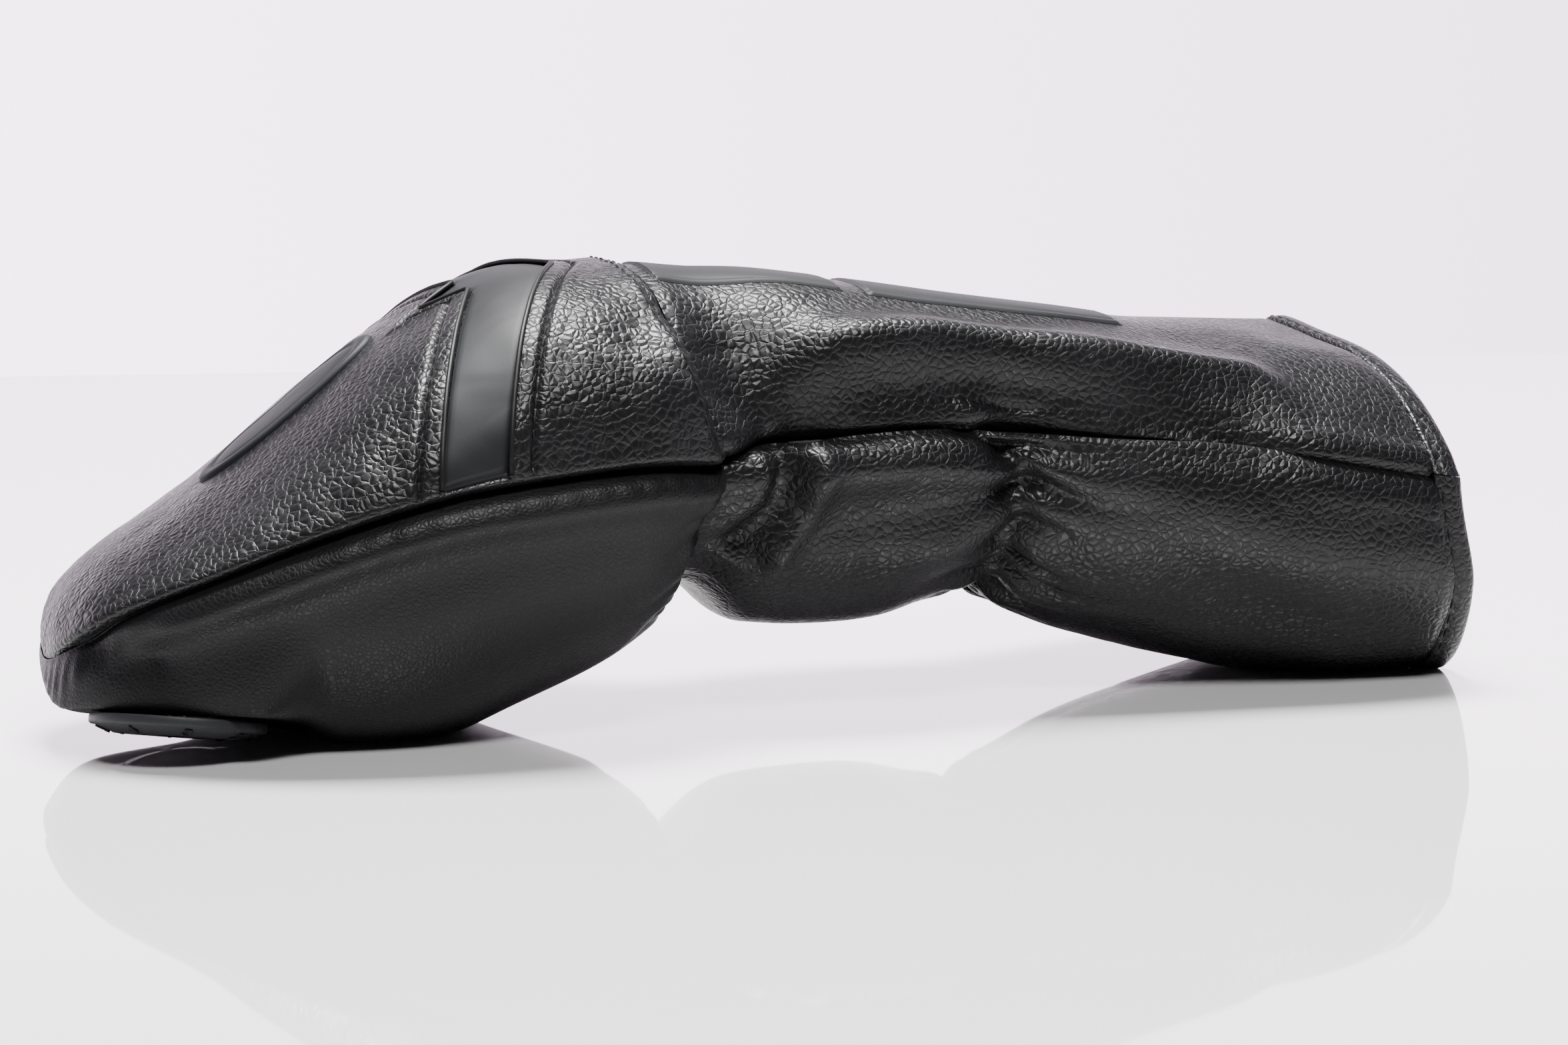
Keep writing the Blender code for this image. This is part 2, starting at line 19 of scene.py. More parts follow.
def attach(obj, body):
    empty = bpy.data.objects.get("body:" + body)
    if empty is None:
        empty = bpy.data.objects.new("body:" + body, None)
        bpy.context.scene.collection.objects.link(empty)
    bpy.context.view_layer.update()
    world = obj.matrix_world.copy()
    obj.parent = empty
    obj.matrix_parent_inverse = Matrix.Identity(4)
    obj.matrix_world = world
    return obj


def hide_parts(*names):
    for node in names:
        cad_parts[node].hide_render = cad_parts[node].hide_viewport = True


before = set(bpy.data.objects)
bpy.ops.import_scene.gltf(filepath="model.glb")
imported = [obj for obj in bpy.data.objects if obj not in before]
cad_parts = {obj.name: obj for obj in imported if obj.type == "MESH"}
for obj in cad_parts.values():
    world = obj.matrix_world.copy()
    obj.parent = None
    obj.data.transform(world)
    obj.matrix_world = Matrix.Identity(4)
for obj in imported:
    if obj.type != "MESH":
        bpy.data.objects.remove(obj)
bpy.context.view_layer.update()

MM = 0.001

# ---------------------------------------------------------------- the body's form

# x, half width, middle, seam height, top, bottom, lean, fullness above and below the seam
STATIONS = (
    (-141.0, 0.0, 0.0, 17.0, 17.0, 17.0, 0.0, 2.0, 2.0),
    (-139.0, 12.0, 0.0, 20.5, 25.5, 10.0, 0.0, 2.0, 2.1),
    (-131.0, 23.5, 0.0, 28.0, 34.0, 4.5, 0.0, 2.0, 2.2),
    (-114.0, 34.0, 0.0, 36.0, 44.5, 3.0, 0.0, 2.0, 2.3),
    (-93.0, 40.0, 0.0, 44.0, 60.0, -4.0, 0.0, 2.1, 2.3),
    (-73.0, 43.0, 0.0, 49.5, 76.0, -4.2, 0.0, 2.2, 2.3),
    (-53.0, 43.5, 0.0, 52.0, 86.5, 3.0, 0.0, 2.3, 2.2),
    (-34.0, 41.5, 0.0, 53.3, 87.8, 10.5, 0.0, 2.3, 2.1),
    (-19.0, 37.0, 0.0, 52.5, 87.3, 20.5, 0.0, 2.3, 2.0),
    (-3.0, 33.5, 0.0, 55.0, 85.3, 15.8, 0.0, 2.4, 2.1),
    (22.0, 34.0, 0.0, 56.5, 81.7, 15.0, 0.0, 2.4, 2.1),
    (43.0, 33.0, 0.5, 55.0, 78.3, 19.0, 0.0, 2.4, 2.0),
    (64.0, 37.0, 1.5, 53.0, 75.0, 10.5, 2.0, 2.3, 2.1),
    (90.0, 40.5, 3.0, 51.0, 71.0, 3.5, 10.0, 2.0, 2.3),
    (117.0, 42.5, 3.5, 46.5, 69.0, -3.0, 22.0, 1.7, 2.5),
    (141.0, 42.0, 3.5, 42.5, 67.0, -4.0, 34.0, 1.4, 2.6),
)
LAST = len(STATIONS) - 1
SIDE_SHIFT = -2.33
LEAN_CURVE = 1.2
RIM_RAKE = 0.1
RAKE_START, RAKE_END = 60.0, 141.0
FLOOR_BLEND = 1.5
SEAM_GAP = 0.2
SIDE_SEAM_CROSS = 8.2
HEEL_SEAM_DIP = 0.7
WAIST_SEAM_DIP = 0.45
HEM_WIDTH, PLUSH_THICK = 6.0, 1.1
MOUTH_MM = 24.0  # one station near the mouth
TOP_GATHER_S, UNDER_GATHER_S = 10.95, 11.08
PADDED_THICK, NECK_TOP_THICK, NECK_UNDER_THICK = 4.4, 3.0, 1.3
TOPSTITCH_BACK, HEEL_STITCHES = 3.9, (0.095, 0.24)
FRONT_STRIP, REAR_STRIP, STRIP_SIDE = (7.68, 9.72), (9.92, 12.6), 0.41

SEAT_CENTRE = (-119.3, -16.5, 7.3)
DIAL_TILT_SIDE, DIAL_TILT_TOE = 11.0, 8.0
SEAT_FLAT, SEAT_FADE, SEAT_REACH = 20.5, 31.0, 8.0
SEAT_FREE, SEAT_HELD = 0.15, 0.55

ARROW_POINT_X, ARROW_NOTCH_X = -40.5, -56.6
ARROW_OUTER_SLOPE, ARROW_INNER_SLOPE = 0.50, 0.44
TOOTH_HALF_WIDTH, TOOTH_TIP_X = 5.0, -68.0

STATION_ROWS = np.array(STATIONS)
before_toe = STATION_ROWS[1].copy()
before_toe[1] *= -1
before_toe[[4, 5]] = before_toe[[5, 4]]
STATION_ROWS = np.vstack([before_toe, STATION_ROWS, 2 * STATION_ROWS[-1] - STATION_ROWS[-2]])


def paired(s, v):
    return np.broadcast_arrays(np.asarray(s, float), np.asarray(v, float))


def stations_at(s):
    i = np.clip(np.floor(s).astype(int), 0, LAST - 1)
    t = (s - i)[..., None]
    before, start, end, after = STATION_ROWS[i], STATION_ROWS[i + 1], STATION_ROWS[i + 2], STATION_ROWS[i + 3]
    value = 0.5 * (
        2 * start
        + (end - before) * t
        + (2 * before - 5 * start + 4 * end - after) * t**2
        + (3 * start - before - 3 * end + after) * t**3
    )
    return np.moveaxis(value, -1, 0)


def on_floor(z, blend=FLOOR_BLEND):
    turn = (z + blend) ** 2 / (4 * blend)
    return np.where(z > blend, z, np.where(z < -blend, 0.0, turn))


def step(x):
    x = np.clip(x, 0.0, 1.0)
    return x * x * (3 - 2 * x)


def bell(x):
    return np.exp(-x * x)


def dial_axis():
    side, toe = math.radians(DIAL_TILT_SIDE), math.radians(DIAL_TILT_TOE)
    axis = np.array([-math.tan(toe), -math.tan(side), -1.0])
    return axis / np.linalg.norm(axis), np.array(SEAT_CENTRE) + np.array([0.0, SIDE_SHIFT, 0.0])


def press_seat(points, down):
    axis, seat = dial_axis()
    away = points - seat
    height = away @ axis
    radius = np.linalg.norm(away - height[..., None] * axis, axis=-1)
    share = 1 - step((radius - SEAT_FLAT) / (SEAT_FADE - SEAT_FLAT))
    share *= 1 - step((np.abs(height) - SEAT_REACH) / (2 * SEAT_REACH))
    share *= step((down - SEAT_FREE) / (SEAT_HELD - SEAT_FREE))
    return points - (height * share)[..., None] * axis


def form(s, v, half):
    """Points on the body's smooth outer surface, for arrays s and v of one shape."""
    s, v = paired(s, v)
    x, width, middle, seam, top, bottom, lean, full_top, full_under = stations_at(s)
    full = full_top if half == "top" else full_under
    cosine, sine = np.cos(np.pi * v), np.abs(np.sin(np.pi * v))
    up = sine ** (2 / full)
    side = -width * np.sign(cosine) * np.abs(cosine) ** (2 / full)
    if half == "top":
        side = side + lean * up**LEAN_CURVE
        z = seam + (top - seam) * up
    else:
        z = on_floor(seam + (bottom - seam) * up)
    y = middle + side + SIDE_SHIFT
    z = z + (1 if half == "top" else -1) * SEAM_GAP / 2 * np.clip(1 - up / 0.9, 0, 1)
    rake = step((x - RAKE_START) / (RAKE_END - RAKE_START))
    points = np.stack([x - RIM_RAKE * rake * z, y, z], axis=-1)
    return press_seat(points, up) if half == "under" else points


def normal(s, v, half):
    """Unit vectors out of the body."""
    s, v = paired(s, v)
    s = np.clip(s, 0.03, LAST - 0.01)
    v = np.clip(v, 0.002, 0.998)
    along = form(s + 0.01, v, half) - form(s - 0.01, v, half)
    across = form(s, v + 0.001, half) - form(s, v - 0.001, half)
    out = np.cross(along, across) if half == "top" else np.cross(across, along)
    return out / np.maximum(np.linalg.norm(out, axis=-1, keepdims=True), 1e-9)


def even_normal(s, v, half):
    """The normal, turned level at the side seams so that the two halves meet there."""
    s, v = paired(s, v)
    level = bell(np.minimum(v, 1 - v) / 0.05)[..., None]
    sideways = np.stack([0 * v, np.sign(v - 0.5), 0 * v], axis=-1)
    out = (1 - level) * normal(s, v, half) + level * sideways
    return out / np.linalg.norm(out, axis=-1, keepdims=True)


def heel_seam(v):
    return SIDE_SEAM_CROSS - HEEL_SEAM_DIP * np.sin(np.pi * v) ** 0.6


def waist_seam(v):
    return SIDE_SEAM_CROSS - WAIST_SEAM_DIP * np.sin(np.pi * v) ** 0.8


def gather_line(v):
    """Where the neck elastic draws the under panel in."""
    edge = np.minimum(v, 1 - v)
    return UNDER_GATHER_S - 0.45 * bell(edge / 0.035)


# ---------------------------------------------------------------- noise and lines

def ripple(points, wavelength, seed, stretch=(1, 1, 1), waves=26):
    """Smooth noise of one rough wavelength, about -1 to 1, as a sum of plane waves."""
    draw = np.random.default_rng(seed)
    ways = draw.normal(size=(waves, 3))
    ways /= np.linalg.norm(ways, axis=1, keepdims=True)
    rates = 2 * np.pi / (wavelength * draw.uniform(0.7, 1.5, waves))
    phases = draw.uniform(0, 2 * np.pi, waves)
    scaled = points / np.array(stretch)
    total = np.zeros(points.shape[:-1])
    for way, rate, phase in zip(ways, rates, phases):
        total += np.sin(scaled @ way * rate + phase)
    return total * math.sqrt(2 / waves) * 0.6


def creases(points, wavelength, seed, stretch=(1, 1, 1), sharp=0.16):
    """Thin winding valleys, from 0 to -1."""
    return -bell(ripple(points, wavelength, seed, stretch) / sharp)


def fingers(x):
    """Rounded ridges with soft valleys between them, from 0.17 to 1."""
    return np.sqrt(np.sin(x) ** 2 + 0.03)


def to_line(points, places):
    """Distance to a line through places on the body, and the nearest point's share of the way along it."""
    knots = np.array([form(s, v, half) for s, v, half in places])
    best = np.full(points.shape[:-1], np.inf)
    share = np.zeros(points.shape[:-1])
    count = len(knots) - 1
    for k in range(count):
        way = knots[k + 1] - knots[k]
        t = np.clip(((points - knots[k]) @ way) / (way @ way), 0, 1)
        gap = np.linalg.norm(points - knots[k] - t[..., None] * way, axis=-1)
        closer = gap < best
        best = np.where(closer, gap, best)
        share = np.where(closer, (k + t) / count, share)
    return best, share


def ends_fade(share, ends=0.18):
    return step(share / ends) * step((1 - share) / ends)


# ---------------------------------------------------------------- relief: folds, rolls and gathers

# lines that the folds follow, as places on the body
S_FOLD = ((8.6, 0.10, "top"), (8.79, 0.03, "top"), (8.96, 0.033, "under"), (8.89, 0.096, "under"),
          (8.57, 0.172, "under"), (8.36, 0.238, "under"))
S_FOLD_FAR = tuple((s, 1 - v, half) for s, v, half in S_FOLD)
SHOULDER = ((8.91, 0.117, "top"), (9.41, 0.209, "top"), (10.37, 0.243, "top"), (11.96, 0.238, "top"),
            (13.31, 0.201, "top"), (13.84, 0.126, "top"))
SHOULDER_FAR = ((9.0, 0.85, "top"), (10.0, 0.78, "top"), (11.5, 0.79, "top"), (13.2, 0.72, "top"))
SAG = ((11.6, 0.10, "under"), (12.3, 0.13, "under"), (13.2, 0.20, "under"), (14.0, 0.26, "under"))
SAG_FAR = ((11.5, 0.86, "under"), (12.4, 0.84, "under"), (13.6, 0.80, "under"))


def from_side_seams(s, half, points):
    """Distance to whichever side seam is closer."""
    return np.minimum(*(np.linalg.norm(points - form(s, v, half), axis=-1) for v in (0.0, 1.0)))


def from_seam(s, v, half, points, seam):
    """Signed distance from a seam across the body, positive towards the mouth."""
    at = seam(v)
    return np.linalg.norm(points - form(at, v, half), axis=-1) * np.sign(s - at)


def arrow_x(y, edge):
    """The arrow's edges in plan, at a distance y from the middle line."""
    y = np.abs(y)
    if edge == "outer":
        return ARROW_POINT_X - ARROW_OUTER_SLOPE * y
    base = ARROW_NOTCH_X - ARROW_INNER_SLOPE * TOOTH_HALF_WIDTH
    tooth = TOOTH_TIP_X + (base - TOOTH_TIP_X) * y / TOOTH_HALF_WIDTH
    return np.where(y < TOOTH_HALF_WIDTH, tooth, ARROW_NOTCH_X - ARROW_INNER_SLOPE * y)


def arrow_s(v, edge):
    """The place along the body where each v meets an edge of the arrow."""
    low, high = np.full_like(v, 3.5), np.full_like(v, 7.4)
    for _ in range(30):
        middle = (low + high) / 2
        points = form(middle, v, "top")
        before = points[..., 0] < arrow_x(points[..., 1] - SIDE_SHIFT, edge)
        low = np.where(before, middle, low)
        high = np.where(before, high, middle)
    return (low + high) / 2


WINDOW_V = 0.012  # the arrow's arms run down to here
INLAY_V = WINDOW_V + 0.006


def window_depth(s, v, points):
    """How far the crown leather drops inside the arrow, and its topstitched grooves."""
    y = points[..., 1] - SIDE_SHIFT
    inner = (points[..., 0] - arrow_x(y, "inner")) / math.hypot(1, ARROW_INNER_SLOPE)
    outer = (arrow_x(y, "outer") - points[..., 0]) / math.hypot(1, ARROW_OUTER_SLOPE)
    inside = np.minimum(inner, outer)
    drop = -1.5 * step((inside + 0.1) / 0.5)
    lip = 0.3 * bell((inside + 0.8) / 0.9)
    groove = -0.75 * bell((inside + TOPSTITCH_BACK) / 0.5) + 0.25 * bell((inside + 2.3) / 1.0)
    groove += 0.25 * bell((inside + 5.6) / 1.3)
    reach = step((np.minimum(v, 1 - v) - WINDOW_V) / 0.012)
    return (drop + lip + groove) * reach


def crown_relief(s, v):
    points = form(s, v, "top")
    side = from_side_seams(s, "top", points)
    heel = from_seam(s, v, "top", points, heel_seam)
    toe_fade = step(s / 1.5)
    relief = (-2.2 * bell(side / 0.75) + 0.35 * bell((side - 1.9) / 1.8)) * toe_fade
    rolled = bell(np.minimum(v, 1 - v) / 0.3)
    relief += -(1.2 + 1.1 * rolled) * bell(heel / 1.5) + (0.1 + 0.8 * rolled) * bell((heel + 3.6) / 3.0)
    relief += -0.35 * bell((heel + 2.6) / 0.6)
    pucker = np.sin(v * 150 + 1.3 * ripple(points, 14, 3))
    relief += 0.10 * pucker * bell((heel + 2.6) / 1.6)
    pull = fingers(v * 46 + 1.6 * ripple(points, 22, 4))
    relief += 0.22 * (pull - 0.6) * bell((heel + 8) / 6.0)
    for mirror in (False, True):
        places = ((7.9, 0.36), (7.45, 0.29), (7.0, 0.22), (6.75, 0.16))
        away, share = to_line(points, [(a, 1 - w if mirror else w, "top") for a, w in places])
        relief += -1.3 * bell(away / 6.0) * ends_fade(share, 0.3)
        corner = form(7.5, 0.86 if mirror else 0.14, "top")
        relief += 1.7 * bell(np.linalg.norm(points - corner, axis=-1) / 13.0)
    relief += window_depth(s, v, points)
    relief += 0.35 * ripple(points, 42, 5) + 0.10 * ripple(points, 11, 6)
    slack = 0.35 + 0.65 * bell(side / 16)
    relief += 0.12 * slack * creases(points, 13, 7, (1.6, 1, 1), 0.3)
    return relief


def sole_relief(s, v):
    points = form(s, v, "under")
    side = from_side_seams(s, "under", points)
    waist = from_seam(s, v, "under", points, waist_seam)
    toe_fade = step(s / 3.2)
    relief = -3.0 * bell(side / 1.3) + 2.3 * bell((side - 5.5) / 3.6) - 0.7 * bell((side - 14) / 6.0)
    relief *= toe_fade
    relief += -2.8 * bell(waist / 2.2)
    across = np.sin(s * 21 + 1.8 * ripple(points, 18, 13))
    relief += 0.16 * across * bell((side - 5) / 4.0) * (0.5 + 0.5 * ripple(points, 35, 14))
    pleat = fingers(v * 62 + 1.4 * ripple(points, 16, 15))
    relief += 0.8 * (pleat - 0.62) * bell(waist / 6.0)
    broad = fingers(v * 27 + 1.2 * ripple(points, 26, 16))
    relief += 0.9 * (broad - 0.6) * bell(waist / 14.0)
    dimple, _ = to_line(points, ((1.6, 0.05, "under"), (2.3, 0.07, "under")))
    relief += -2.4 * bell(dimple / 4.5)
    relief += 0.35 * ripple(points, 46, 17)
    relief += 0.07 * creases(points, 14, 18, (1.6, 1, 1), 0.3) * (0.3 + 0.7 * bell(side / 12))
    return relief


def overhang(s):
    """Where the neck's top panel hangs over the under panel, from the heel to the gather."""
    return step((s - 8.85) / 0.3) * step((10.9 - s) / 0.6)


def seam_held(s):
    """1 where the neck's side seam shows as a sharp line, 0 where it is lost in the soft folds."""
    return 1 - step((s - 10.6) / 0.5) * (1 - step((s - 13.0) / 0.8))


def mouth_slump(s, v):
    """The mouth's top edge sinks a little where it turns over towards the far side."""
    return -2.2 * bell((v - 0.60) / 0.10) * step((s - 13.2) / 1.6)


def mouth_round(s, v):
    """The near half of the mouth's top edge is puffed out into a round arc."""
    return 5.2 * bell((v - 0.22) / 0.13) * step(v / 0.08) * step((s - 12.4) / 2.2)


def mouth_lift(s, v, half):
    return (half == "top") * (mouth_slump(s, v) + mouth_round(s, v))


def mouth_swell(s, v, half):
    """How far the lower half of the mouth swells forward of the top half."""
    return (half == "under") * 2.6 * step((s - 13.0) / 2.0) * step(np.minimum(v, 1 - v) / 0.13)


def hem_line(s):
    """The pressed line that the hem's edge sits in."""
    return -0.5 * bell(((LAST - s) * MOUTH_MM - HEM_WIDTH) / 1.3)


def neck_top_relief(s, v):
    points = form(s, v, "top")
    side = from_side_seams(s, "top", points)
    heel = from_seam(s, v, "top", points, heel_seam)
    low = bell(np.minimum(v, 1 - v) / 0.32)
    calm = 1 - 0.85 * bell((v - 0.5) / 0.13)
    flank = bell((np.minimum(v, 1 - v) - 0.15) / 0.23)
    relief = -(0.2 + 6.6 * flank) * bell((heel - 11.0) / 11.5) - (0.5 + 1.2 * low) * bell(heel / 2.0)
    pull = fingers(v * 30 + 0.8 * ripple(points, 26, 23))
    relief += 0.6 * (pull - 0.6) * low * bell((heel - 6) / 8.0)
    over = overhang(s)
    held = seam_held(s)
    seam_cut = (-2.0 * bell(side / 1.0) + 0.8 * bell((side - 4) / 3.0)) * held
    seam_cut += (-1.6 * bell(side / 5.5) - 0.6 * bell(side / 0.6)) * (1 - held)
    relief += seam_cut * (1 - over) - (3.2 * bell(side / 11.0) + 1.0 * bell(side / 0.9)) * over
    relief -= 2.2 * bell(side / 9.0) * step((s - 10.5) / 0.5) * step((14.2 - s) / 1.2)
    for line, height in ((SHOULDER, 3.4), (SHOULDER_FAR, 1.8)):
        away, share = to_line(points, line)
        ridge = np.interp(s, [place[0] for place in line], [place[1] for place in line])
        below = (ridge - v if line is SHOULDER else v - ridge) * 115
        fade = ends_fade(share, 0.30)
        start, end = line[0][0], line[-1][0]
        hollow = step((s - start) / 1.1) * step((end - s) / 1.6) * step(below / 4.0)
        relief += height * bell(away / 5.5) * fade
        relief -= 0.75 * height * bell((below - 15.5) / 8.5) * hollow
        relief -= 0.25 * height * bell((below + 14) / 8.0) * fade
    for line in (S_FOLD, S_FOLD_FAR):
        away, share = to_line(points, line)
        relief += -2.6 * bell(away / 3.6) * ends_fade(share, 0.3)
    gather = from_seam(s, v, "top", points, lambda w: np.full_like(w, TOP_GATHER_S))
    tug = fingers(side * 0.55 + 0.7 * ripple(points, 18, 24))
    relief += 1.0 * (tug - 0.55) * bell(gather / 9.0) * bell(side / 12.0)
    relief += -1.6 * bell(gather / 7.0) * bell(side / 10.0)
    relief += calm * (0.55 * ripple(points, 40, 25, (1.8, 1, 1)) + 0.14 * ripple(points, 15, 26, (1.6, 1, 1)))
    relief += 0.16 * calm * creases(points, 17, 27, (2.0, 1, 1), 0.3) * (0.4 + 0.6 * low)
    relief += mouth_lift(s, v, "top")
    return relief + hem_line(s)


def neck_under_relief(s, v):
    points = form(s, v, "under")
    side = from_side_seams(s, "under", points)
    waist = from_seam(s, v, "under", points, waist_seam)
    gather = from_seam(s, v, "under", points, gather_line)
    over = overhang(s)
    held = seam_held(s)
    relief = (-2.2 * bell(side / 1.0) + 0.9 * bell((side - 5) / 4.0)) * (1 - over) * held
    relief += (-1.6 * bell(side / 5.5) - 0.6 * bell(side / 0.6)) * (1 - over) * (1 - held)
    roll = -3.0 * bell(side / 1.6) + 2.6 * bell((side - 6.5) / 4.5) - 2.2 * bell((side - 17) / 6.0)
    relief += roll * over
    relief += -5.2 * bell((waist - 1.5) / 8.0)
    pleat = fingers(v * 44 + 0.8 * ripple(points, 22, 33))
    relief += 0.4 * (pleat - 0.6) * bell((waist - 1) / 7.0)
    middle = bell((s - 10.4) / 0.42)
    for centre in (0.17, 0.83):
        relief += 4.4 * middle * bell((v - centre) / 0.075)
    for line in (S_FOLD, S_FOLD_FAR):
        away, share = to_line(points, line)
        ahead = step((s - 8.6) / 0.4)
        relief += -3.6 * bell(away / 3.4) * ends_fade(share, 0.15)
        relief += 2.3 * bell((away - 6.5) / 3.4) * ahead * ends_fade(share, 0.2)
    relief += -3.0 * bell(gather / 4.0)
    reach = np.where(gather > 0, 10.0, 6.5)
    side_turn = step((gather + 2.5) / 5.0)
    fine = fingers(v * 46 + 1.1 * side_turn + 1.2 * ripple(points, 17, 34, (4, 1, 1)))
    relief += 3.4 * (fine - 0.55) * bell(gather / reach) * (1 - 0.45 * bell(gather / 1.6))
    wide = fingers(v * 25 + 0.9 * ripple(points, 24, 35, (4, 1, 1)))
    relief += 1.9 * (wide - 0.6) * bell(gather / (2.1 * reach))
    relief += (3.2 * bell((side - 19) / 12.0) - 1.2 * bell(side / 4.0)) * step((s - 11.3) / 1.2)
    for line in (SAG, SAG_FAR):
        away, share = to_line(points, line)
        relief += -1.4 * bell(away / 8.0) * ends_fade(share, 0.3)
    relief += 0.55 * ripple(points, 44, 36, (1.7, 1, 1)) + 0.10 * ripple(points, 16, 37, (1.5, 1, 1))
    relief += 0.12 * creases(points, 16, 38, (1.8, 1, 1), 0.3)
    return relief + hem_line(s)


def relief_of(s, v, half):
    """The relief of whichever panel covers each place."""
    s, v = paired(s, v)
    if half == "top":
        return np.where(s < heel_seam(v), crown_relief(s, v), neck_top_relief(s, v))
    return np.where(s < waist_seam(v), sole_relief(s, v), neck_under_relief(s, v))


def raised(s, v, half, relief, height=0.0, outwards=normal):
    """Points at a height above the body's form, kept off the table."""
    points = form(s, v, half) + (relief + height)[..., None] * outwards(s, v, half)
    points[..., 0] += mouth_swell(s, v, half)
    points[..., 2] = np.where(points[..., 2] < 2.0, on_floor(points[..., 2], 0.8), points[..., 2])
    return points


# ---------------------------------------------------------------- making meshes

def new_object(name, data):
    obj = bpy.data.objects.new(name, data)
    bpy.context.scene.collection.objects.link(obj)
    return obj


def quads_of(lines, rows, offset=0, wrap_rows=False):
    index = offset + np.arange(lines * rows).reshape(lines, rows)
    if wrap_rows:
        index = np.hstack([index, index[:, :1]])
    a, b = index[:-1, :-1], index[1:, :-1]
    c, d = index[1:, 1:], index[:-1, 1:]
    return np.stack([a, b, c, d], axis=-1).reshape(-1, 4)


def capped_tube(lines, sides):
    """Faces of a tube whose ends are closed."""
    last = (lines - 1) * sides
    ends = [list(range(sides)), [last + k for k in reversed(range(sides))]]
    return quads_of(lines, sides, 0, True).tolist() + ends


def border_of(lines, rows):
    index = np.arange(lines * rows).reshape(lines, rows)
    return np.concatenate([index[:, 0], index[-1, 1:], index[-2::-1, -1], index[0, -2:0:-1]])


def finish_mesh(name, vertices, faces, sharp=45):
    vertices = np.array(vertices)
    vertices[:, 2] = np.maximum(vertices[:, 2], 0.0)
    mesh = bpy.data.meshes.new(name)
    mesh.from_pydata((vertices * MM).tolist(), [], faces)
    bm = bmesh.new()
    bm.from_mesh(mesh)
    bmesh.ops.remove_doubles(bm, verts=bm.verts, dist=1e-6)
    bmesh.ops.recalc_face_normals(bm, faces=bm.faces)
    bm.to_mesh(mesh)
    bm.free()
    mesh.shade_smooth()
    mesh.set_sharp_from_angle(angle=math.radians(sharp))
    return new_object(name, mesh)


def panel(name, outer, inner):
    """A closed wall between two grids of points."""
    lines, rows = outer.shape[:2]
    count = lines * rows
    faces = np.vstack([quads_of(lines, rows), quads_of(lines, rows, count)[:, ::-1]])
    border = border_of(lines, rows)
    after = np.roll(border, -1)
    rim = np.stack([border, border + count, after + count, after], axis=-1)
    vertices = np.vstack([outer.reshape(-1, 3), inner.reshape(-1, 3)])
    return finish_mesh(name, vertices, np.vstack([faces, rim]).tolist())


def rows_of(count, crowd=0.5):
    """Values of v from 0 to 1, closer together near the side seams."""
    t = np.linspace(0, 1, count)
    return t - crowd * np.sin(2 * np.pi * t) / (2 * np.pi)


def layered(name, lines, v, half, relief_function, thickness):
    s = np.array(lines)
    v = np.broadcast_to(v, s.shape)
    relief = relief_function(s, v)
    outer = raised(s, v, half, relief)
    inner = raised(s, v, half, np.minimum(relief, 0) * 0.85, -thickness)
    return panel(name, outer, inner)


def between(start, end, count):
    return [start + (end - start) * t for t in np.linspace(0, 1, count)]


def make_panels():
    v = rows_of(190)
    gap = 0.012
    inner, outer = arrow_s(v, "inner"), arrow_s(v, "outer")
    close = np.concatenate([np.arange(0, 0.03, 0.008), np.arange(0.03, 0.4, 0.018)])
    lines = between(np.zeros_like(v), inner - 0.4, 104)[:-1]
    lines += [inner - off for off in close[::-1]]
    lines += between(inner, outer, 22)[1:-1]
    lines += [outer + off for off in close]
    lines += between(outer + 0.4, heel_seam(v) - gap, 56)[1:]
    crown = layered("crown_leather", lines, v, "top", crown_relief, PADDED_THICK)
    v = rows_of(200)
    lines = between(np.zeros_like(v), waist_seam(v) - gap, 230)
    sole = layered("sole_leather", lines, v, "under", sole_relief, PADDED_THICK)
    end = np.full_like(v, LAST - (HEM_WIDTH + 0.1) / MOUTH_MM)
    lines = between(heel_seam(v) + gap, end, 236)
    neck_top = layered("neck_top_leather", lines, v, "top", neck_top_relief, NECK_TOP_THICK)
    lines = between(waist_seam(v) + gap, end, 236)
    neck_under = layered("neck_under_leather", lines, v, "under", neck_under_relief, NECK_UNDER_THICK)
    return crown, sole, neck_top, neck_under


def make_inlay():
    """The matte band that fills the arrow, with softly rounded long edges."""
    v = INLAY_V + (1 - 2 * INLAY_V) * rows_of(210)
    inner, outer = arrow_s(v, "inner"), arrow_s(v, "outer")
    t = np.array([0.035, 0.045, 0.065, 0.10, *np.linspace(0.16, 0.84, 12), 0.90, 0.935, 0.955, 0.965])
    s = inner + (outer - inner) * t[:, None]
    v = np.broadcast_to(v, s.shape)
    relief = crown_relief(s, v)
    flat = np.maximum(relief, -1.5)
    edge = np.minimum(t, 1 - t)
    height = 0.95 + 0.30 * (1 - bell((edge - 0.035) / 0.035))
    ends = step((np.minimum(v, 1 - v) - INLAY_V) / 0.02)
    top = raised(s, v, "top", flat, 0.25 + (height[:, None] - 0.25) * ends)
    bottom = raised(s, v, "top", flat, 0.1)
    return panel("inlay_band", top, bottom)


def tube(path, radius, sides=8):
    """A round cord along a list of points."""
    path = np.asarray(path)
    ways = np.gradient(path, axis=0)
    ways /= np.linalg.norm(ways, axis=1, keepdims=True)
    reference = np.array([0.0, 0.0, 1.0])
    first = np.cross(ways, reference)
    first /= np.maximum(np.linalg.norm(first, axis=1, keepdims=True), 1e-9)
    second = np.cross(ways, first)
    turns = np.linspace(0, 2 * np.pi, sides, endpoint=False)
    rings = (path[:, None] + radius * (np.cos(turns)[:, None] * first[:, None]
                                       + np.sin(turns)[:, None] * second[:, None]))
    return rings.reshape(-1, 3), capped_tube(len(path), sides)


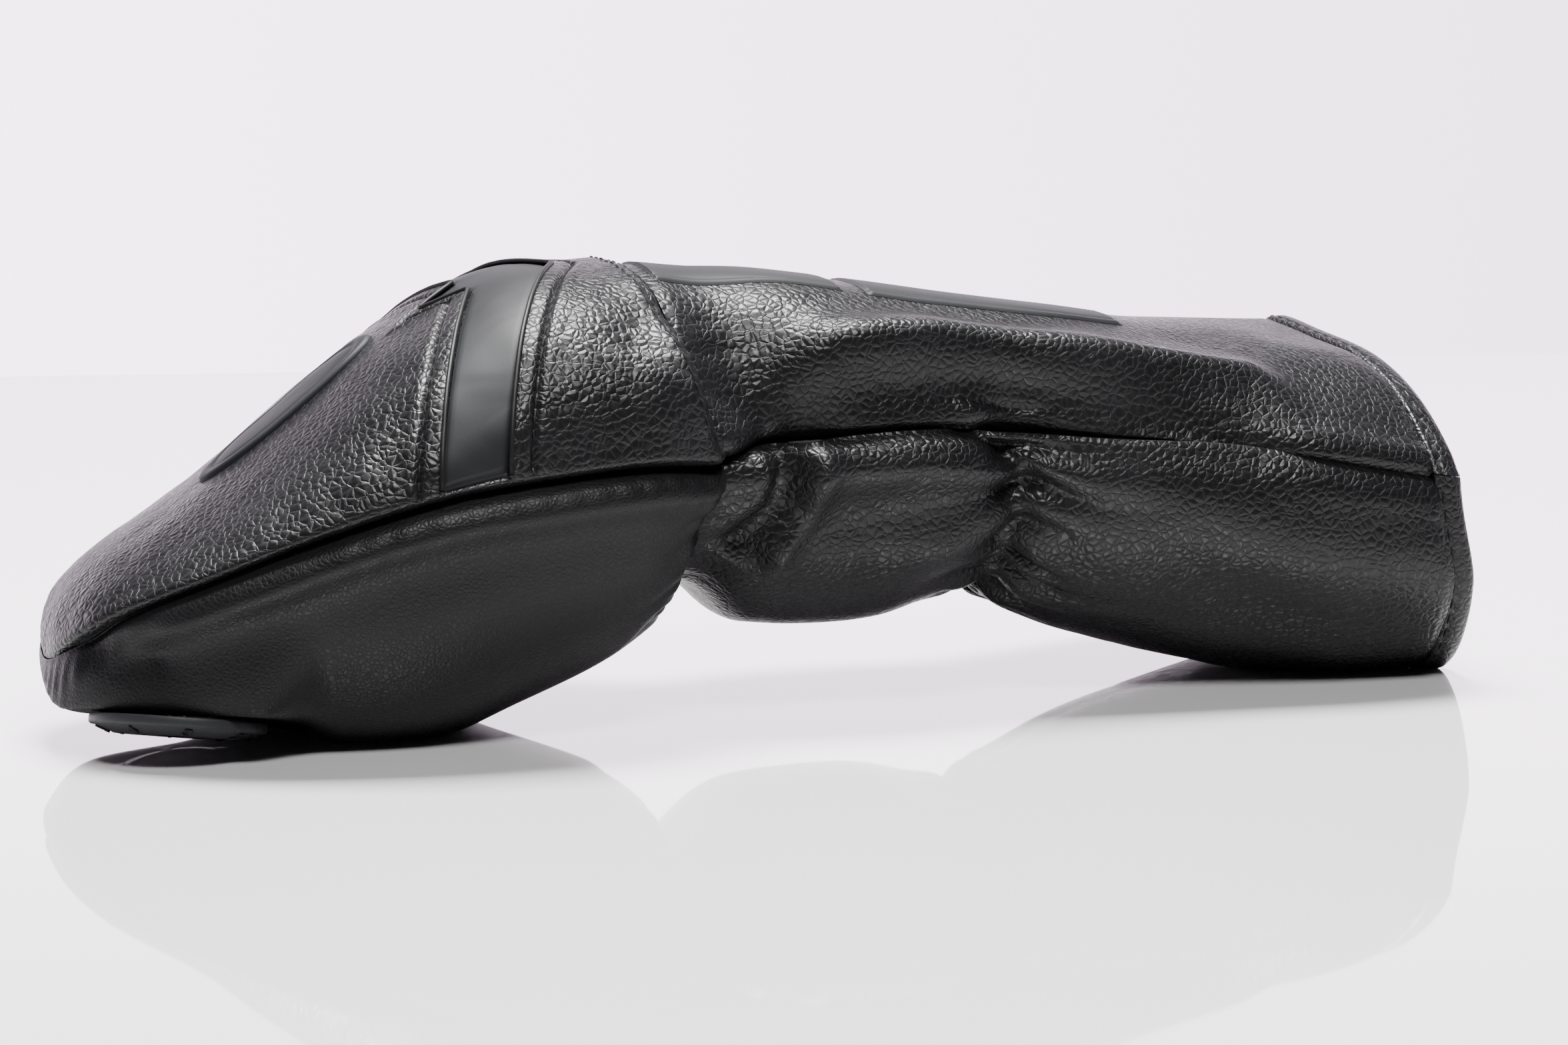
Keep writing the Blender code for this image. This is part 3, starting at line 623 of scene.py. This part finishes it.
def merged(name, parts_list):
    vertices, faces, offset = [], [], 0
    for points, quads in parts_list:
        vertices.append(points)
        faces.extend([[index + offset for index in face] for face in quads])
        offset += len(points)
    return finish_mesh(name, np.vstack(vertices), faces, 60)


def make_piping():
    """The thin dark edges that outline the arrow."""
    start = WINDOW_V + 0.004
    v = start + (1 - 2 * start) * rows_of(260)
    made = []
    for edge, shift in (("inner", 0.004), ("outer", -0.004)):
        s = arrow_s(v, edge) + shift
        away = crown_relief(s + (0.06 if edge == "outer" else -0.06), v)
        made.append(tube(raised(s, v, "top", away), 0.5))
    return merged("window_piping", made)


def stitch_row(path, length=2.4, gap=0.9, radius=0.2, sink=0.05, normals=None):
    """Short threads laid end to end along a path, each diving in at its ends."""
    path = np.asarray(path)
    steps = np.linalg.norm(np.diff(path, axis=0), axis=1)
    run = np.concatenate([[0], np.cumsum(steps)])
    made = []
    count = int(run[-1] // (length + gap))
    for k in range(count):
        places = k * (length + gap) + np.linspace(0, length, 7)
        points = np.stack([np.interp(places, run, path[:, axis]) for axis in range(3)], axis=1)
        out = np.stack([np.interp(places, run, normals[:, axis]) for axis in range(3)], axis=1)
        arch = np.sin(np.linspace(0.0, np.pi, 7)) ** 0.5
        points = points + out * (radius * 1.7 * arch - radius - sink)[:, None]
        made.append(tube(points, radius, 6))
    return made


def surface_path(s, v, half):
    return raised(s, v, half, relief_of(s, v, half)), normal(s, v, half)


def make_stitches():
    made = []
    v = np.linspace(0.03, 0.97, 400)
    for off in HEEL_STITCHES:
        path, out = surface_path(heel_seam(v) - off, v, "top")
        made += stitch_row(path, normals=out)
    for edge, off in (("inner", -TOPSTITCH_BACK * math.hypot(1, ARROW_INNER_SLOPE)),
                      ("outer", TOPSTITCH_BACK * math.hypot(1, ARROW_OUTER_SLOPE))):
        s = arrow_s(v, edge)
        ends = form(s + 0.05, v, "top")[:, 0] - form(s - 0.05, v, "top")[:, 0]
        s = s + off * 0.1 / ends
        path, out = surface_path(s, v, "top")
        made += stitch_row(path, normals=out, sink=0.0)
    v = np.linspace(0.01, 0.99, 500)
    for half in ("top", "under"):
        s = np.full_like(v, LAST - (HEM_WIDTH - 1.2) / MOUTH_MM)
        path = raised(s, v, half, hem_height(v) + mouth_lift(s, v, half), 0.20)
        made += stitch_row(path, 2.8, 1.1, 0.2, 0.05, normal(s, v, half))
    return merged("thread_stitches", made)


# ---------------------------------------------------------------- hem, patch, strips, lining

HEM_SECTION = (  # back from the rim, and height above the panel
    (6.25, -1.2), (6.2, -0.5), (6.0, -0.05), (5.6, 0.18), (5.0, 0.25), (4.5, 0.05), (4.0, 0.30),
    (3.0, 0.42), (1.8, 0.40), (0.8, 0.15), (0.1, -0.4), (-0.25, -1.3), (-0.3, -2.4), (-0.1, -3.4),
    (0.5, -4.1), (1.5, -4.5), (3.0, -4.7), (5.0, -4.8), (7.0, -4.8), (7.5, -4.6), (7.0, -4.3),
    (3.6, -4.0), (2.0, -3.2), (1.6, -2.2), (2.4, -1.3), (4.0, -1.1),
)


def hem_height(v):
    points = form(np.full_like(v, LAST - 2 / MOUTH_MM), v, "top")
    return 0.15 * ripple(points, 30, 52)


def make_hem(name, half):
    rows = 190
    v = rows_of(rows, 0.4)
    lines = []
    bump = hem_height(v)
    for back, height in HEM_SECTION:
        s = np.full_like(v, LAST - back / MOUTH_MM)
        out = even_normal(s, v, half)
        points = form(s, v, half) + (bump + height + mouth_lift(s, v, half))[:, None] * out
        points[:, 0] += mouth_swell(s, v, half)
        lines.append(points)
    points = np.swapaxes(np.array(lines), 0, 1).reshape(-1, 3)
    return finish_mesh(name, points, capped_tube(rows, len(HEM_SECTION)), 60)


def locate(x, y, s, v):
    """The place on the crown side above each point in plan, from a first guess."""
    for _ in range(12):
        here = form(s, v, "top")
        by_s = (form(s + 0.01, v, "top") - here) / 0.01
        by_v = (form(s, v + 0.001, "top") - here) / 0.001
        dx, dy = x - here[..., 0], y - here[..., 1]
        size = by_s[..., 0] * by_v[..., 1] - by_s[..., 1] * by_v[..., 0]
        s = s + (dx * by_v[..., 1] - dy * by_v[..., 0]) / size
        v = v + (dy * by_s[..., 0] - dx * by_s[..., 1]) / size
    return s, v


PATCH_X, PATCH_Y, PATCH_LENGTH, PATCH_WIDTH = -92.0, 7.0, 34.0, 15.0


def make_patch():
    """The raised strip on the toe slope, with a rounded edge and a sunk border line."""
    sides = 96
    turns = np.linspace(0, 2 * np.pi, sides, endpoint=False)
    radius = PATCH_WIDTH / 2
    reach = PATCH_LENGTH / 2 - radius
    rings = np.array([1.0, 0.985, 0.95, 0.90, 0.86, 0.83, 0.80, 0.77, 0.6, 0.4, 0.2, 0.02])
    heights = np.array([0.1, 0.65, 0.95, 1.0, 0.98, 0.72, 0.72, 0.92, 1.0, 1.0, 1.0, 1.0])
    x = PATCH_X + reach * np.sign(np.cos(turns)) * np.abs(np.cos(turns)) ** 0.4 * rings[:, None]
    x = x + radius * np.cos(turns) * rings[:, None]
    y = PATCH_Y + SIDE_SHIFT + radius * np.sin(turns) * rings[:, None]
    s, v = locate(x, y, np.full_like(x, 4.0), np.full_like(x, 0.55))
    grid = raised(s, v, "top", crown_relief(s, v), heights[:, None])
    base = raised(s[:1], v[:1], "top", crown_relief(s[:1], v[:1]), -0.6)
    points = np.vstack([base.reshape(-1, 3), grid.reshape(-1, 3)])
    return finish_mesh("toe_patch_raised", points, capped_tube(len(rings) + 1, sides), 50)


def make_strip(name, start, end):
    """A raised matte strip along the neck, with a sunk line inside its edge."""
    length = 90
    across = np.array([0, 0.012, 0.03, 0.06, 0.09, 0.11, 0.13, 0.16, 0.3, 0.5])
    across = np.concatenate([across, 1 - across[-2::-1]])
    edge = np.minimum(across, 1 - across)
    profile = 0.15 + 0.85 * step(edge / 0.03) - 0.45 * bell((edge - 0.11) / 0.02)
    ends = np.linspace(0, 1, length)
    ends = ends - 0.6 * np.sin(2 * np.pi * ends) / (2 * np.pi)
    closing = step(np.minimum(ends, 1 - ends) / 0.02)
    s = start + (end - start) * ends[:, None] + 0 * across
    v = STRIP_SIDE + (1 - 2 * STRIP_SIDE) * across + 0 * s
    relief = neck_top_relief(s, v)
    top = raised(s, v, "top", relief, 0.1 + (profile * 0.6 - 0.1) * closing[:, None])
    bottom = raised(s, v, "top", relief, -0.4)
    return panel(name, top, bottom)


def make_lining():
    """The plush tube inside, from the toe to the hem."""
    start, end = 1.5, LAST - 3.0 / MOUTH_MM
    lines = 150
    v = rows_of(90, 0.4)
    inner, outer = [], []
    for s in np.linspace(start, end, lines):
        ring = {"inner": [], "outer": []}
        for half, order in (("top", slice(None, -1)), ("under", slice(None, 0, -1))):
            along = np.full_like(v, s)
            relief = np.minimum(relief_of(along, v, half), 0)
            depth = 5.6 + 1.4 * step((8.4 - s) / 1.0)
            points = form(along, v, half)
            wrinkle = 0.5 * ripple(points, 16, 61) + 0.25 * ripple(points, 5, 62)
            ring["inner"].append(raised(along, v, half, relief, wrinkle - depth, even_normal)[order])
            ring["outer"].append(raised(along, v, half, relief, PLUSH_THICK - depth, even_normal)[order])
        inner.append(np.concatenate(ring["inner"]))
        outer.append(np.concatenate(ring["outer"]))
    inner, outer = np.array(inner), np.array(outer)
    for grid in (inner, outer):
        grid[0] = grid[0].mean(axis=0)
    rows = inner.shape[1]
    count = lines * rows
    faces = np.vstack([quads_of(lines, rows, 0, True), quads_of(lines, rows, count, True)[:, ::-1]])
    last = np.arange((lines - 1) * rows, lines * rows)
    after = np.roll(last, -1)
    rim = np.stack([last, after, after + count, last + count], axis=-1)
    vertices = np.vstack([inner.reshape(-1, 3), outer.reshape(-1, 3)])
    return finish_mesh("plush_inside", vertices, np.vstack([faces, rim]).tolist(), 180)


# ---------------------------------------------------------------- dial

def dial_matrix():
    axis, seat = dial_axis()
    turn = Vector(axis).to_track_quat("Z", "Y").to_matrix().to_4x4()
    return Matrix.Translation(Vector(seat) * MM) @ turn


def turned(name, profile, steps=160):
    """A closed ring or disc turned about the dial's axis."""
    profile = np.array(profile, float)
    turns = np.linspace(0, 2 * np.pi, steps, endpoint=False)
    ring = np.stack([
        profile[:, 0] * np.cos(turns)[:, None],
        profile[:, 0] * np.sin(turns)[:, None],
        profile[:, 1] + 0 * turns[:, None],
    ], axis=-1)
    ring = np.vstack([ring, ring[:1]])
    faces = quads_of(steps + 1, len(profile), 0, True).tolist()
    obj = finish_mesh(name, ring.reshape(-1, 3), faces, 40)
    obj.data.transform(dial_matrix())
    return obj


DIAL_NUMBERS = "23456789"
NUMBER_SIZE, NUMBER_RADIUS, NUMBER_HEIGHT, FIRST_NUMBER_TURN = 3.9, 13.75, 3.02, 0.25


def make_numbers():
    """Raised plain numbers round the dial's sloped edge."""
    slope = math.atan2(1.2, 3.0)
    mesh = bpy.data.meshes.new("dial_numbers")
    bm = bmesh.new()
    place = dial_matrix()
    for k, body in enumerate(DIAL_NUMBERS):
        curve = bpy.data.curves.new("number", "FONT")
        curve.body = body
        curve.size = NUMBER_SIZE * MM
        curve.extrude = 0.35 * MM
        curve.bevel_depth = 0.06 * MM
        curve.offset = 0.10 * MM
        curve.align_x, curve.align_y = "CENTER", "CENTER"
        holder = new_object("number", curve)
        bpy.context.view_layer.update()
        shape = bpy.data.meshes.new_from_object(holder.evaluated_get(bpy.context.evaluated_depsgraph_get()))
        turn = 2 * math.pi * k / len(DIAL_NUMBERS) + FIRST_NUMBER_TURN
        stand = Matrix.Rotation(turn, 4, "Z")
        stand = stand @ Matrix.Translation(Vector((NUMBER_RADIUS, 0, NUMBER_HEIGHT)) * MM)
        stand = stand @ Matrix.Rotation(slope, 4, "Y") @ Matrix.Rotation(-math.pi / 2, 4, "Z")
        shape.transform(place @ stand)
        bm.from_mesh(shape)
        bpy.data.objects.remove(holder)
    bm.to_mesh(mesh)
    bm.free()
    mesh.set_sharp_from_angle(angle=math.radians(30))
    return new_object("dial_numbers", mesh)


def make_dial():
    disc = turned("dial_disc", [
        (2.1, 3.5), (2.1, 2.0), (3.0, 1.85), (14.6, 1.85), (15.3, 2.0), (15.42, 2.15), (15.42, 2.35),
        (15.2, 2.52), (12.3, 3.55), (12.0, 3.72), (11.6, 3.78), (11.3, 3.70), (11.0, 3.60), (10.4, 3.60),
        (10.0, 3.74), (6.0, 3.84), (4.3, 3.80), (4.1, 3.7), (4.1, 2.6),
    ])
    ring = turned("dial_ring", [
        (16.1, 2.35), (16.45, 2.15), (16.62, 1.8), (16.62, 0.75), (16.45, 0.45), (16.1, 0.32), (2.1, 0.32),
        (2.1, 1.0), (15.68, 1.0), (15.68, 2.15), (15.8, 2.35),
    ])
    return disc, ring, make_numbers()


# ---------------------------------------------------------------- materials

def node(tree, kind, **settings):
    made = tree.nodes.new(kind)
    for key, value in settings.items():
        if key in made.inputs:
            made.inputs[key].default_value = value
        else:
            setattr(made, key, value)
    return made


def blank(name):
    made = bpy.data.materials.new(name)
    made.use_nodes = True
    tree = made.node_tree
    shader = tree.nodes["Principled BSDF"]
    place = node(tree, "ShaderNodeTexCoord")
    return made, tree, shader, place.outputs["Object"]


def noise(tree, place, **settings):
    made = node(tree, "ShaderNodeTexNoise", **settings)
    tree.links.new(place, made.inputs["Vector"])
    return made


def emboss(tree, shader, height, strength, depth):
    """Fine relief in the material, of a depth in mm."""
    bump = node(tree, "ShaderNodeBump", Strength=strength, Distance=depth * MM)
    tree.links.new(height, bump.inputs["Height"])
    tree.links.new(bump.outputs["Normal"], shader.inputs["Normal"])


def ramp(tree, source, low, high, at_low, at_high):
    made = node(tree, "ShaderNodeMapRange")
    tree.links.new(source, made.inputs["Value"])
    made.inputs["From Min"].default_value = low
    made.inputs["From Max"].default_value = high
    made.inputs["To Min"].default_value = at_low
    made.inputs["To Max"].default_value = at_high
    return made.outputs["Result"]


def math_node(tree, operation, first, second):
    made = node(tree, "ShaderNodeMath", operation=operation)
    for slot, value in zip(made.inputs, (first, second)):
        if isinstance(value, (int, float)):
            slot.default_value = value
        else:
            tree.links.new(value, slot)
    return made.outputs[0]


def sockets(group, kind):
    return [socket for socket in group if socket.type == kind]


def mixed(tree, share, first, second):
    made = node(tree, "ShaderNodeMix", data_type="RGBA")
    tree.links.new(share, made.inputs["Factor"])
    colour_slots = sockets(made.inputs, "RGBA")
    colour_slots[0].default_value = (*first, 1)
    colour_slots[1].default_value = (*second, 1)
    return sockets(made.outputs, "RGBA")[0]


def grained_leather(name, colour, worn, grain, depth, rough, fine, shine):
    """Pebbled leather: rounded cells with creased valleys, a second set of longer creases, and pores."""
    made, tree, shader, place = blank(name)
    warp = noise(tree, place, Scale=220.0, Detail=2.0)
    shift = node(tree, "ShaderNodeVectorMath", operation="MULTIPLY_ADD")
    tree.links.new(warp.outputs["Color"], shift.inputs[0])
    shift.inputs[1].default_value = (0.0011, 0.0011, 0.0011)
    tree.links.new(place, shift.inputs[2])
    cells = node(tree, "ShaderNodeTexVoronoi", feature="DISTANCE_TO_EDGE", Scale=1000 / grain)
    tree.links.new(shift.outputs[0], cells.inputs["Vector"])
    pebble = ramp(tree, cells.outputs["Distance"], 0.0, 0.42, 0.0, 1.0)
    pebble = math_node(tree, "POWER", pebble, 0.55)
    folds = node(tree, "ShaderNodeTexVoronoi", feature="DISTANCE_TO_EDGE", Scale=1000 / (grain * 2.4))
    tree.links.new(shift.outputs[0], folds.inputs["Vector"])
    fold = ramp(tree, folds.outputs["Distance"], 0.0, 0.12, 0.0, 1.0)
    pores = noise(tree, place, Scale=3200.0, Detail=3.0)
    height = math_node(tree, "MULTIPLY_ADD", fold, 0.22)
    tree.links.new(pebble, height.node.inputs[2])
    height = math_node(tree, "ADD", height, math_node(tree, "MULTIPLY", pores.outputs["Fac"], fine))
    emboss(tree, shader, height, 0.85, depth)
    patches = noise(tree, place, Scale=28.0, Detail=4.0)
    shade = mixed(tree, ramp(tree, patches.outputs["Fac"], 0.35, 0.7, 0.0, 1.0), colour, worn)
    tree.links.new(shade, shader.inputs["Base Color"])
    gloss = math_node(tree, "ADD", ramp(tree, patches.outputs["Fac"], 0.3, 0.7, rough - 0.05, rough + 0.06),
                      ramp(tree, pebble, 0.0, 1.0, 0.16, 0.0))
    tree.links.new(gloss, shader.inputs["Roughness"])
    shader.inputs["Specular IOR Level"].default_value = shine
    return made


def matte_sheet(name, colour, rough):
    """Smooth matte sheet with a very fine tooth."""
    made, tree, shader, place = blank(name)
    tooth = noise(tree, place, Scale=5200.0, Detail=3.0)
    emboss(tree, shader, tooth.outputs["Fac"], 0.35, 0.05)
    patches = noise(tree, place, Scale=60.0, Detail=3.0)
    lighter = tuple(c * 1.25 for c in colour)
    tree.links.new(mixed(tree, ramp(tree, patches.outputs["Fac"], 0.3, 0.7, 0.0, 1.0), colour, lighter),
                   shader.inputs["Base Color"])
    tree.links.new(ramp(tree, patches.outputs["Fac"], 0.3, 0.7, rough - 0.04, rough + 0.04),
                   shader.inputs["Roughness"])
    shader.inputs["Specular IOR Level"].default_value = 0.12
    return made


def thread(name, colour):
    made, tree, shader, place = blank(name)
    twist = node(tree, "ShaderNodeTexWave", Scale=900.0, Distortion=1.5)
    tree.links.new(place, twist.inputs["Vector"])
    emboss(tree, shader, twist.outputs["Fac"], 0.5, 0.08)
    shade = mixed(tree, twist.outputs["Fac"], colour, tuple(c * 1.8 for c in colour))
    tree.links.new(shade, shader.inputs["Base Color"])
    shader.inputs["Roughness"].default_value = 0.8
    shader.inputs["Specular IOR Level"].default_value = 0.08
    return made


def plush(name, colour, tips):
    """Short dense pile."""
    made, tree, shader, place = blank(name)
    pile = noise(tree, place, Scale=1500.0, Detail=4.0, Roughness=0.7)
    clumps = noise(tree, place, Scale=260.0, Detail=3.0)
    height = math_node(tree, "ADD", pile.outputs["Fac"], clumps.outputs["Fac"])
    emboss(tree, shader, height, 0.9, 0.9)
    shade = mixed(tree, ramp(tree, height, 0.7, 1.3, 0.0, 1.0), colour, tips)
    tree.links.new(shade, shader.inputs["Base Color"])
    shader.inputs["Roughness"].default_value = 0.95
    shader.inputs["Sheen Weight"].default_value = 0.12
    shader.inputs["Sheen Roughness"].default_value = 0.5
    return made


def moulded(name, colour, rough):
    """Moulded plastic with a light spark-eroded texture."""
    made, tree, shader, place = blank(name)
    tooth = noise(tree, place, Scale=2600.0, Detail=2.0)
    emboss(tree, shader, tooth.outputs["Fac"], 0.3, 0.06)
    tree.links.new(ramp(tree, tooth.outputs["Fac"], 0.3, 0.7, rough - 0.06, rough + 0.06),
                   shader.inputs["Roughness"])
    patches = noise(tree, place, Scale=90.0, Detail=2.0)
    shade = mixed(tree, patches.outputs["Fac"], colour, tuple(c * 1.3 for c in colour))
    tree.links.new(shade, shader.inputs["Base Color"])
    shader.inputs["Specular IOR Level"].default_value = 0.15
    return made


def steel(name):
    made, tree, shader, place = blank(name)
    scuff = noise(tree, place, Scale=900.0, Detail=4.0)
    tree.links.new(ramp(tree, scuff.outputs["Fac"], 0.3, 0.7, 0.25, 0.42), shader.inputs["Roughness"])
    tree.links.new(mixed(tree, scuff.outputs["Fac"], (0.5, 0.5, 0.51), (0.6, 0.6, 0.61)),
                   shader.inputs["Base Color"])
    shader.inputs["Metallic"].default_value = 1.0
    return made


def dress(obj, finish):
    obj.data.materials.clear()
    obj.data.materials.append(finish)


# ---------------------------------------------------------------- the pieces

pebbled = grained_leather("pebbled_black", (0.003, 0.003, 0.0033), (0.0045, 0.0045, 0.005),
                          grain=1.6, depth=0.17, rough=0.28, fine=0.03, shine=0.15)
fine_grain = grained_leather("fine_grain_black", (0.003, 0.003, 0.0033), (0.0042, 0.0042, 0.0046),
                             grain=0.95, depth=0.07, rough=0.36, fine=0.06, shine=0.11)
inlay_matte = matte_sheet("inlay_matte", (0.005, 0.0053, 0.006), 0.56)
edge_black = matte_sheet("edge_black", (0.003, 0.003, 0.003), 0.5)
thread_black = thread("thread_black", (0.004, 0.004, 0.0045))
plush_grey = plush("plush_grey", (0.009, 0.009, 0.010), (0.024, 0.024, 0.027))
dial_grey = moulded("dial_grey", (0.010, 0.0105, 0.012), 0.5)
ring_grey = moulded("ring_grey", (0.009, 0.0095, 0.0105), 0.5)
number_dark = moulded("number_dark", (0.004, 0.004, 0.005), 0.45)
rivet_steel = steel("rivet_steel_worn")

crown, sole, neck_top, neck_under = make_panels()
pieces = [
    (crown, "cover", ("crown_panel", "crown_foam"), "pebbled_leather", pebbled),
    (sole, "cover", ("sole_panel", "sole_foam"), "fine_grain_leather", fine_grain),
    (neck_top, "cover", ("neck_top_panel", "neck_top_foam"), "pebbled_leather", pebbled),
    (neck_under, "cover", ("neck_under_panel", "waist_elastic", "neck_elastic"), "pebbled_leather", pebbled),
    (make_hem("hem_fold_top", "top"), "cover", ("mouth_hem_top",), "pebbled_leather", pebbled),
    (make_hem("hem_fold_under", "under"), "cover", ("mouth_hem_under",), "pebbled_leather", pebbled),
    (make_inlay(), "cover", ("crown_inlay",), "matte_inlay", inlay_matte),
    (make_piping(), "cover", (), "matte_inlay", edge_black),
    (make_patch(), "cover", ("toe_patch",), "matte_inlay", inlay_matte),
    (make_strip("neck_strip_front_raised", *FRONT_STRIP), "cover", ("neck_strip_front",), "matte_inlay",
     inlay_matte),
    (make_strip("neck_strip_rear_raised", *REAR_STRIP), "cover", ("neck_strip_rear",), "matte_inlay",
     inlay_matte),
    (make_stitches(), "cover", (), "pebbled_leather", thread_black),
    (make_lining(), "cover", ("crown_lining", "sole_lining", "neck_top_lining", "neck_under_lining"),
     "plush_lining", plush_grey),
]
disc, ring, numbers = make_dial()
pieces += [
    (disc, "dial", ("number_dial",), "dial_plastic", dial_grey),
    (numbers, "dial", (), "dial_plastic", number_dark),
    (ring, "cover", ("dial_base",), "base_plastic", ring_grey),
]
for obj, body, nodes, slot, finish in pieces:
    dress(obj, finish)
    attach(obj, body)
    if nodes:
        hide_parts(*nodes)
for name in ("dial_rivet", "dial_spring_washer", "rivet_backing_washer"):
    dress(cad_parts[name], rivet_steel)

# ---------------------------------------------------------------- table, light and camera

AZIMUTH, ELEVATION, DISTANCE = math.radians(-20), math.radians(9), 0.950
SHIFT_RIGHT, SHIFT_DOWN = 0.0047, 0.0099
right = Vector((math.cos(AZIMUTH), math.sin(AZIMUTH), 0))
back = Vector((math.sin(AZIMUTH) * math.cos(ELEVATION), -math.cos(AZIMUTH) * math.cos(ELEVATION),
               math.sin(ELEVATION)))
up = back.cross(right)
target = Vector((0.002, SIDE_SHIFT * MM, 0.045))
place = target + SHIFT_RIGHT * right - SHIFT_DOWN * up + DISTANCE * back
camera_data = bpy.data.cameras.new("camera")
camera_data.lens = 110.62
camera_data.sensor_width = 36.0
camera_data.clip_end = 20
camera = new_object("camera", camera_data)
camera.matrix_world = Matrix((
    (right.x, up.x, back.x, place.x),
    (right.y, up.y, back.y, place.y),
    (right.z, up.z, back.z, place.z),
    (0, 0, 0, 1),
))
bpy.context.scene.camera = camera


TABLE_EDGE_MIDDLE, TABLE_EDGE_TURN = Vector((0.19205, 0.49291, 0)), math.radians(-13.36)
TABLE_HALF_LENGTH, TABLE_DEPTH = 6.2426, 7.0


def make_table():
    """A glossy pale slab whose far edge runs behind the cover."""
    way = Vector((math.cos(TABLE_EDGE_TURN), math.sin(TABLE_EDGE_TURN), 0))
    ends = [TABLE_EDGE_MIDDLE - way * TABLE_HALF_LENGTH, TABLE_EDGE_MIDDLE + way * TABLE_HALF_LENGTH]
    nearer = Vector((way.y, -way.x, 0))
    corners = [ends[0], ends[1], ends[1] + nearer * TABLE_DEPTH, ends[0] + nearer * TABLE_DEPTH]
    mesh = bpy.data.meshes.new("table")
    mesh.from_pydata([(c.x, c.y, 0) for c in corners], [], [(0, 3, 2, 1)])
    made, _, shader, _ = blank("table_gloss")
    shader.inputs["Base Color"].default_value = (0.68, 0.664, 0.672, 1)
    shader.inputs["Roughness"].default_value = 0.035
    shader.inputs["IOR"].default_value = 2.1
    shader.inputs["Coat Weight"].default_value = 1.0
    shader.inputs["Coat IOR"].default_value = 1.9
    shader.inputs["Coat Roughness"].default_value = 0.03
    mesh.materials.append(made)
    return new_object("table", mesh)


table = make_table()

world = bpy.data.worlds.new("studio")
bpy.context.scene.world = world
world.use_nodes = True


def make_studio(tree):
    """A room with a bright far wall and a dim near side, which looks pale wherever it is seen."""
    shader = tree.nodes["Background"]
    direction = node(tree, "ShaderNodeSeparateXYZ")
    tree.links.new(node(tree, "ShaderNodeTexCoord").outputs["Generated"], direction.inputs[0])
    wall = ramp(tree, direction.outputs["Y"], -0.1, 0.7, 0.06, 4.0)
    wall.node.interpolation_type = "SMOOTHSTEP"
    above = ramp(tree, direction.outputs["Z"], 0.17, 0.32, 1.0, 0.12)
    above.node.interpolation_type = "SMOOTHSTEP"
    wall = math_node(tree, "MULTIPLY", wall, above)
    skirting = math_node(tree, "MULTIPLY", ramp(tree, direction.outputs["Z"], 0.08, 0.20, 2.6, 0.0),
                         ramp(tree, direction.outputs["Y"], -0.8, -0.3, 0.0, 1.0))
    wall = math_node(tree, "MAXIMUM", wall, skirting)
    seen = ramp(tree, direction.outputs["X"], 0.15, 0.55, 5.6, 3.6)
    rays = node(tree, "ShaderNodeLightPath")
    strength = node(tree, "ShaderNodeMix", data_type="FLOAT")
    tree.links.new(rays.outputs["Is Camera Ray"], strength.inputs["Factor"])
    _, first, second = sockets(strength.inputs, "VALUE")
    tree.links.new(wall, first)
    tree.links.new(seen, second)
    tree.links.new(sockets(strength.outputs, "VALUE")[0], shader.inputs["Strength"])
    shader.inputs["Color"].default_value = (1.0, 0.86, 1.0, 1)


make_studio(world.node_tree)


LIGHTS_AIM = Vector((0, 0, 0.05))


def area_light(name, position, width, length, watts):
    data = bpy.data.lights.new(name, "AREA")
    data.shape = "RECTANGLE"
    data.size, data.size_y = width, length
    data.energy = watts
    light = new_object(name, data)
    light.location = position
    light.rotation_euler = (LIGHTS_AIM - Vector(position)).to_track_quat("-Z", "Y").to_euler()


area_light("overhead_softbox", (0.05, 0.26, 1.1), width=0.55, length=0.34, watts=108)
area_light("front_softbox", (-0.05, -0.62, 0.95), width=0.40, length=0.22, watts=24)
